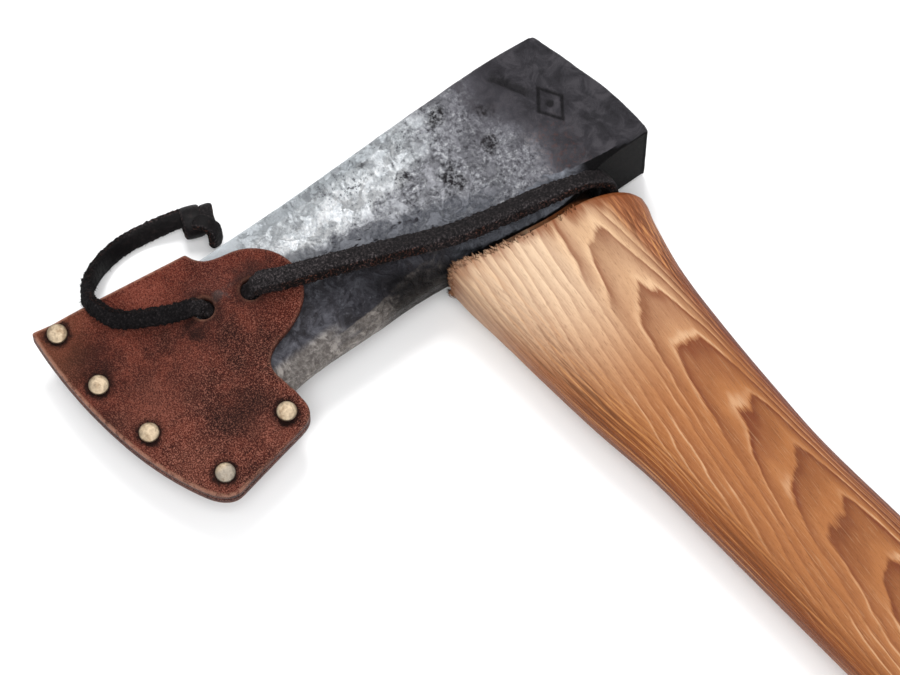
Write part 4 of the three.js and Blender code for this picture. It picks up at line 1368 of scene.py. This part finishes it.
def make_wedges():
    ash = HANDLE_PIECE.data.materials[0]
    for name, wedge in (("kerf", WOOD_WEDGE), ("cross_kerf", STEEL_WEDGE)):
        points, faces = wedge_block(*wedge, grow=0.15, rounding=0)
        cut_away(HANDLE_PIECE, make_piece(name, points, faces, ash, None))
    # the handle's grain also needs the share of its width
    x, y, _ = design_points(HANDLE_PIECE.data).T
    set_attribute(HANDLE_PIECE.data, "cross", (y - handle_centre(x)) / handle_half(x))
    wood = end_grain_material("wedge_wood", (196, 148, 98))
    points, faces = wedge_block(*WOOD_WEDGE, dent=0.35)
    made = make_piece("wooden_wedge", points, faces, wood, "axe", ["eye_wedge"])
    points, faces = wedge_block(*STEEL_WEDGE, grow=0.2, rounding=0)
    cut_away(made, make_piece("steel_cutter", points, faces, wood, None))
    points, faces = wedge_block(*STEEL_WEDGE, rounding=0.2, dent=0.3)
    steel = bright_steel_material()
    make_piece("steel_cross_wedge", points, faces, steel, "axe", ["steel_wedge"])


# ---- sheath --------------------------------------------------------------------------
def sheath_outline(step=0.4):
    """Points of the leather's cut edge, heel corner first."""
    # a corner and two handles for each curve, which ends at the next one's corner
    knots = [
        (-32.7, -127.3), (-12, -129), (14, -125.5),
        (31.2, -115.2), (34.5, -113.2), (36.9, -110.2),
        (36.3, -107.2), (34.7, -99.7), (33.2, -92.1),
        (31.6, -84.6), (30.6, -79.6), (27.6, -78.8),
        (23.3, -79.7), (21.1, -80.3), (18.8, -81.0),
        (16.6, -81.6), (11.6, -82.6), (9.6, -78.6),
        (8.8, -74.4), (7.6, -67.8), (3.6, -61.0),
        (-3.8, -61.0), (-11, -61.0), (-16.6, -66.6),
        (-18.2, -71.9), (-19.4, -76.2), (-19.4, -80.6),
        (-25.3, -82.2), (-27.8, -97.2), (-30.2, -112.3),
    ]
    curves = [(knots + knots[:1])[k : k + 4] for k in range(0, len(knots), 3)]
    dense = np.vstack([bezier(curve, np.linspace(0, 1, 200, endpoint=False)) for curve in curves])
    outline = spaced(np.vstack([dense, dense[:1]]), step, closed=True)
    for _ in range(3):
        outline = (np.roll(outline, 1, 0) + 2 * outline + np.roll(outline, -1, 0)) / 4
    return outline


def hole_circle(centre, radius=2.9, count=44):
    angle = np.linspace(0, 2 * np.pi, count, endpoint=False)
    return np.stack([centre[0] + radius * np.cos(angle), centre[1] + radius * np.sin(angle)], 1)


def loop_offset(loop, distance):
    """The loop moved to its left by distance."""
    ahead, behind = np.roll(loop, -1, 0), np.roll(loop, 1, 0)
    tangent = unit(ahead - behind)
    return loop + np.stack([-tangent[:, 1], tangent[:, 0]], 1) * distance


def distance_to_loop(points, loop):
    ahead = np.roll(loop, -1, 0)
    best = np.full(len(points), 1e9)
    for start in range(0, len(loop), 40):
        a, b = loop[start : start + 40], ahead[start : start + 40]
        d = b - a
        t = ((points[:, None] - a) * d).sum(2) / np.maximum((d * d).sum(1), 1e-12)
        near = a + np.clip(t, 0, 1)[..., None] * d
        best = np.minimum(best, np.linalg.norm(points[:, None] - near, axis=2).min(1))
    return best


def inside_loop(points, loop):
    x, y = points[:, 0][:, None], points[:, 1][:, None]
    a, b = loop, np.roll(loop, -1, 0)
    crosses = ((a[:, 1] > y) != (b[:, 1] > y)) & (
        x < (b[:, 0] - a[:, 0]) * (y - a[:, 1]) / (b[:, 1] - a[:, 1] + 1e-12) + a[:, 0]
    )
    return crosses.sum(1) % 2 == 1


OUTER_ROUND = 0.9
INNER_ROUND = 0.45
RIM_OFFSETS = (0.07, 0.25, 0.55, 0.95, 1.5)
GRID_STEP = 0.75
GRID_FROM_RIM = 1.85


def panel_plan():
    """Plan points and triangles of a sheath panel, with each point's distance to an edge."""
    outline = sheath_outline()
    if np.cross(np.roll(outline, -1, 0) - outline[:1], outline - outline[:1]).sum() > 0:
        outline = outline[::-1]
    holes = [hole_circle(HOLE_TAIL)[::-1], hole_circle(HOLE_STRETCH)[::-1]]
    loops = [outline] + holes

    def to_edge(places):
        return np.min([distance_to_loop(places, loop) for loop in loops], axis=0)

    extra, wanted = [], []
    for offset in RIM_OFFSETS:
        for loop in loops:
            extra.append(loop_offset(loop, offset)[:: 1 if offset < 0.5 else 2])
            wanted += [offset] * len(extra[-1])
    ring_points = np.vstack(extra)
    # a ring's point that comes too close to another edge is dropped
    keep = to_edge(ring_points) > np.array(wanted) * 0.93
    ring_points = ring_points[keep & inside_loop(ring_points, outline)]
    xs, ys = np.meshgrid(np.arange(-38, 40, GRID_STEP), np.arange(-131, -58, GRID_STEP * 0.866))
    xs = xs + (np.arange(len(ys)) % 2)[:, None] * GRID_STEP / 2
    grid = np.stack([xs.ravel(), ys.ravel()], 1)
    grid = grid[inside_loop(grid, outline)]
    for hole in holes:
        grid = grid[~inside_loop(grid, hole)]
    grid = grid[to_edge(grid) > GRID_FROM_RIM]
    points = np.vstack(loops + [ring_points, grid])
    edges = []
    start = 0
    for loop in loops:
        count = len(loop)
        edges += [(start + k, start + (k + 1) % count) for k in range(count)]
        start += count
    places = [Vector(p) for p in points]
    flat, _, triangles, *_ = geometry.delaunay_2d_cdt(places, edges, [], 1, 1e-6)
    flat = np.array([tuple(p) for p in flat])
    centres = flat[np.array([list(t) for t in triangles])].mean(1)
    good = inside_loop(centres, outline)
    for hole in holes:
        good &= ~inside_loop(centres, hole)
    triangles = [tuple(t) for t, g in zip(triangles, good) if g]
    return flat, triangles, [len(loop) for loop in loops], to_edge(flat)


def rounded_drop(distance, radius):
    inner = np.clip(distance, 0, radius)
    return radius - np.sqrt(np.maximum(radius**2 - (radius - inner) ** 2, 0))


def leather_height(x, y, edge):
    """The leather's outer face, with its dimples, creases and swollen rims."""
    height = outer_face(x, y)
    for rx, ry in RIVETS:
        away = np.hypot(x - rx, y - ry)
        dimple, swelling = np.exp(-((away / 3.6) ** 2)), np.exp(-(((away - 5.6) / 1.6) ** 2))
        height = height - 0.55 * dimple + 0.18 * swelling
    crease = np.hypot((x + 23.2) / 0.7, (y + 118.4) / 3.2)
    return height + 0.3 * np.exp(-(crease**2)) - rounded_drop(edge, OUTER_ROUND)


def make_panel(name, side, plan, material, node):
    flat, triangles, loop_sizes, edge = plan
    x, y = flat.T
    outer = leather_height(x, y, edge)
    at = np.stack([x, y, np.full(len(x), side * 10.0)], 1)
    inside = smooth(edge / 3)
    outer = outer + inside * (fractal(at, 11, 2, 3.7) * 0.5 + fractal(at, 4.5, 3, 8.1) * 0.22)
    outer = outer + fractal(at, 0.8, 2, 5.1) * 0.035
    inner = pocket_height(x, y) + rounded_drop(edge, INNER_ROUND)
    inner = np.minimum(inner, outer - 0.2)
    count = len(x)
    points = np.vstack([np.stack([x, y, side * outer], 1), np.stack([x, y, side * inner], 1)])
    faces = triangles + [(a + count, c + count, b + count) for a, b, c in triangles]
    start = 0
    # the cut edges, in three bands
    for size in loop_sizes:
        bands = [start]
        ring, under = points[start : start + size], points[start + count : start + count + size]
        for share in (1 / 3, 2 / 3):
            bands.append(len(points))
            points = np.vstack([points, mix(ring, under, share)])
        bands.append(start + count)
        for upper, lower in zip(bands, bands[1:]):
            for k in range(size):
                n = (k + 1) % size
                faces.append((upper + n, upper + k, lower + k, lower + n))
        start += size
    edge_all = np.concatenate([edge, edge, np.zeros(len(points) - 2 * count)])
    outside = np.concatenate([np.ones(count), np.zeros(len(points) - count)])
    cut = np.concatenate([np.zeros(2 * count), np.ones(len(points) - 2 * count)])
    extra = {"edge_mm": edge_all, "outside": outside, "cut": cut}
    make_piece(name, points, faces, material, "sheath", [node], extra)


def leather_material():
    s = Shader("sheath_leather")
    edge = s.attribute("edge_mm")
    cut = s.attribute("cut")
    outside = s.attribute("outside")
    fine = s.noise(0.3, 3, 0.7)
    pebble = s.noise(0.36, 3, 0.75, shift=(2, 2, 5))
    mottle = s.noise(2.4, 5, 0.68, 0.4, shift=(4, 4, 1))
    cloud = s.noise(11, 4, 0.6, shift=(1, 6, 3))
    smear = s.noise(24, 2, shift=(7, 2, 5))
    base = s.ramp(cloud, [(0.38, (50, 20, 15)), (0.5, (75, 32, 24)), (0.62, (104, 50, 38))])
    # redder and smoother up the flap and down the toe side, grainier below
    toe = (s.y * -0.12 + s.x).fade(8, -16)
    flap = (s.x * -0.25 + s.y).fade(-84, -70)
    red = s.math("MAXIMUM", toe * 0.9, flap * 0.75)
    s.color = s.blend(red * 0.4, base, (118, 46, 31))
    s.stain(
        cloud, 3, 0.5,
        [
            ((-22, -97), 10, (152, 78, 62), 0.5), ((0, -97), 8, (142, 76, 62), 0.28),
            ((5, -113.5), 13, (148, 84, 68), 0.42), ((22.8, -112.3), 10, (140, 78, 62), 0.4),
            ((27.5, -92), 7, (150, 84, 68), 0.4),
        ],
    )
    low = (s.y * 0.2 + s.x).fade(-26, -4)
    grainy = low * smear.fade(0.35, 0.6, 0.55, 1)
    dark = mottle.fade(0.5, 0.62) * (grainy * 0.1 + 0.25)
    s.paint(dark, (38, 17, 13))
    # the grain: dark between the pebbles, with a painted pink-brown highlight on their tops where
    # the grain glints
    s.paint(pebble.fade(0.49, 0.4, 0, 0.72), (28, 11, 8))
    grain_glints = pebble.fade(0.51, 0.61) * (grainy * 0.4 + 0.3)
    s.paint(grain_glints, (186, 122, 103))
    s.stain(
        cloud, 3, 0.5,
        [
            ((-9.3, -81.5), 3.2, (84, 76, 74), 0.55), ((-5.0, -93.0), 6.0, (24, 12, 10), 0.75),
            ((-18.5, -117), 12, (30, 13, 10), 0.5), ((-10.7, -70.5), 7, (28, 12, 9), 0.5),
            ((18, -94), 12, (32, 14, 11), 0.5),
        ],
    )
    corner = (s.x + s.y).fade(-132, -152)
    s.paint(corner * 0.4, (116, 74, 52))
    # painted shade: dark halos round the rivets and holes, their contact shadow on the leather
    holes = (HOLE_TAIL, HOLE_STRETCH)
    for places, reach, depth in ((RIVETS, 5.0, 0.7), (RIVETS, 3.7, 0.85), (holes, 7.0, 0.6)):
        s.stain(mottle, 0.8, 2.8, [(place, reach, (30, 15, 12), depth) for place in places])
    # the rim is worn pale on its corner and the cut edge is dark
    worn = edge.fade(1.1, 0.3) * mottle.fade(0.38, 0.56, 0.2, 1)
    blade_side = (s.x * 0.3 + s.y).fade(-86, -100, 0.15, 0.7)
    s.paint(worn * (outside * blade_side), (176, 128, 106))
    cut_tone = s.ramp(mottle, [(0.35, (44, 20, 14)), (0.65, (96, 54, 40))])
    s.paint(cut, cut_tone)
    bumps = pebble * 1.1 + fine * 0.35
    bumps = mottle * (grainy * 1.2 + 0.5) + bumps
    rough = pebble.fade(0.35, 0.65, 0.6, 0.42)
    return s.finish(Roughness=rough, Normal=s.bump(bumps, 0.7), Specular_IOR_Level=0.14)


def make_sheath():
    plan = panel_plan()
    material = leather_material()
    make_panel("sheath_front", 1, plan, material, "sheath_front_panel")
    make_panel("sheath_back", -1, plan, material, "sheath_back_panel")


# ---- rivets and stopper knot ---------------------------------------------------------
RIVET_RADIUS = 2.75
RIVET_HEIGHT = 1.1


def rivet_seat(x, y):
    angle = np.arange(12) * math.pi / 6
    xs = np.append(x + RIVET_RADIUS * np.cos(angle), x)
    ys = np.append(y + RIVET_RADIUS * np.sin(angle), y)
    return float(pocket_height(xs, ys).max()) + LEATHER


def spin(pairs, place, sides=48):
    """Points and faces of a solid turned about z, from (radius, z) pairs."""
    angle = np.linspace(0, 2 * np.pi, sides, endpoint=False)
    c, s = np.cos(angle), np.sin(angle)
    rings = [
        np.stack([place[0] + r * c, place[1] + r * s, np.full(sides, z)], 1) for r, z in pairs
    ]
    return np.vstack(rings), tube_faces(len(rings), sides)


def brass_material():
    s = Shader("rivet_brass")
    fine = s.noise(0.25, 3, 0.6)
    dents = s.noise(1.1, 3, 0.55, shift=(3, 1, 1))
    tarnish = s.noise(2.6, 3, shift=(6, 2, 3))
    s.color = s.ramp(dents, [(0.35, (136, 121, 101)), (0.6, (156, 140, 118))])
    greyer = s.x.fade(27.5, 29.5)
    s.paint(greyer * 0.75, (112, 107, 100))
    s.paint(tarnish.fade(0.5, 0.7, 0, 0.6), (96, 74, 52))
    return s.finish(
        Metallic=0.9, Roughness=fine.fade(0.3, 0.7, 0.44, 0.56), Normal=s.bump(dents, 0.14)
    )


def make_rivets():
    brass = brass_material()
    for number, place in enumerate(RIVETS, 1):
        seat = rivet_seat(*place)
        low = seat - 0.35
        r, h = RIVET_RADIUS, RIVET_HEIGHT
        dome = [(0.7, seat - 5.5), (0.7, low), (r * 0.96, low), (r, low + 0.25), (r, seat + 0.42)]
        dome += [(r * 0.985, seat + 0.55), (r * 0.94, seat + 0.64), (r * 0.86, seat + 0.7)]
        shares = (0.7, 0.5, 0.3, 0.12)
        dome += [(r * share, seat + 0.7 + 0.24 * (1 - share * share)) for share in shares]
        points, faces = spin(dome, place)
        points[:, 2] += fractal(points, 1.6, 2, number * 3.3) * 0.06 * (points[:, 2] > seat)
        cap = f"rivet_{number}_cap"
        make_piece(f"{cap}_dome", points, faces, brass, "sheath", [cap])
        foot = [(0.3, -seat - h * 0.82), (r * 0.72, -seat - h * 0.8), (r * 0.9, -seat - h * 0.62)]
        foot += [(r, -seat - h * 0.3), (r, -low), (1.35, -low), (1.35, seat - 0.4)]
        foot += [(0.75, seat - 0.4), (0.75, -low)]
        points, faces = spin(foot, place)
        post = f"rivet_{number}_post"
        make_piece(f"{post}_turned", points, faces, brass, "sheath", [post])


def make_stopper():
    """The knot that keeps the lace in the back panel's tail hole: a flat coil."""
    x, y = HOLE_TAIL
    centre = (x, y, -float(outer_face(np.array(x), np.array(y))) - 2.15)
    rows = []
    for k in range(23):
        share = k / 22
        angle = 0.6 + share * 2 * math.pi * 1.3
        out = np.array([math.cos(angle), math.sin(angle), 0])
        z = mix(-0.55, 0.55, share) + 0.25 * math.sin(3 * angle)
        spot = np.array(centre) + out * 2.35 + np.array([0, 0, z])
        rows.append((*spot, *(out * 0.5 + np.array([0, 0, -1.0])), 4.2, 2.0, 0.2))
    make_sheath_lace("lace_stopper", strap(rows, seed=4.6, fuzz=0.1), "lace_stopper_knot")


make_wedges()
make_sheath()
make_rivets()
make_stopper()


# ---- studio --------------------------------------------------------------------------
def make_studio():
    mesh = bpy.data.meshes.new("floor")
    corners = [(-3, -3, 0), (3, -3, 0), (3, 3, 0), (-3, 3, 0)]
    mesh.from_pydata(corners, [], [(0, 1, 2, 3)])
    floor = add_object("floor", mesh)
    material = bpy.data.materials.new("paper")
    material.use_nodes = True
    bsdf = material.node_tree.nodes["Principled BSDF"]
    bsdf.inputs["Base Color"].default_value = (0.9, 0.9, 0.9, 1)
    bsdf.inputs["Roughness"].default_value = 0.9
    mesh.materials.append(material)
    world = bpy.data.worlds.new("studio")
    world.use_nodes = True
    background = world.node_tree.nodes["Background"]
    background.inputs["Color"].default_value = (0.97, 0.985, 1, 1)
    background.inputs["Strength"].default_value = 0.74
    bpy.context.scene.world = world
    middle = Vector(to_row((30, -30, 0)))
    for name, place, size, power in (
        ("key", (-0.5, 0.25, 1.15), 0.4, 9.5),
        ("fill", (0.44, -0.32, 1.5), 0.8, 15.0),
    ):
        data = bpy.data.lights.new(name, "AREA")
        data.shape = "RECTANGLE"
        data.size = data.size_y = size
        data.energy = power
        light = add_object(name, data)
        light.location = middle + Vector(place)
        light.rotation_euler = (middle - light.location).to_track_quat("-Z", "Y").to_euler()
    bpy.context.scene.view_settings.view_transform = "Standard"


make_studio()
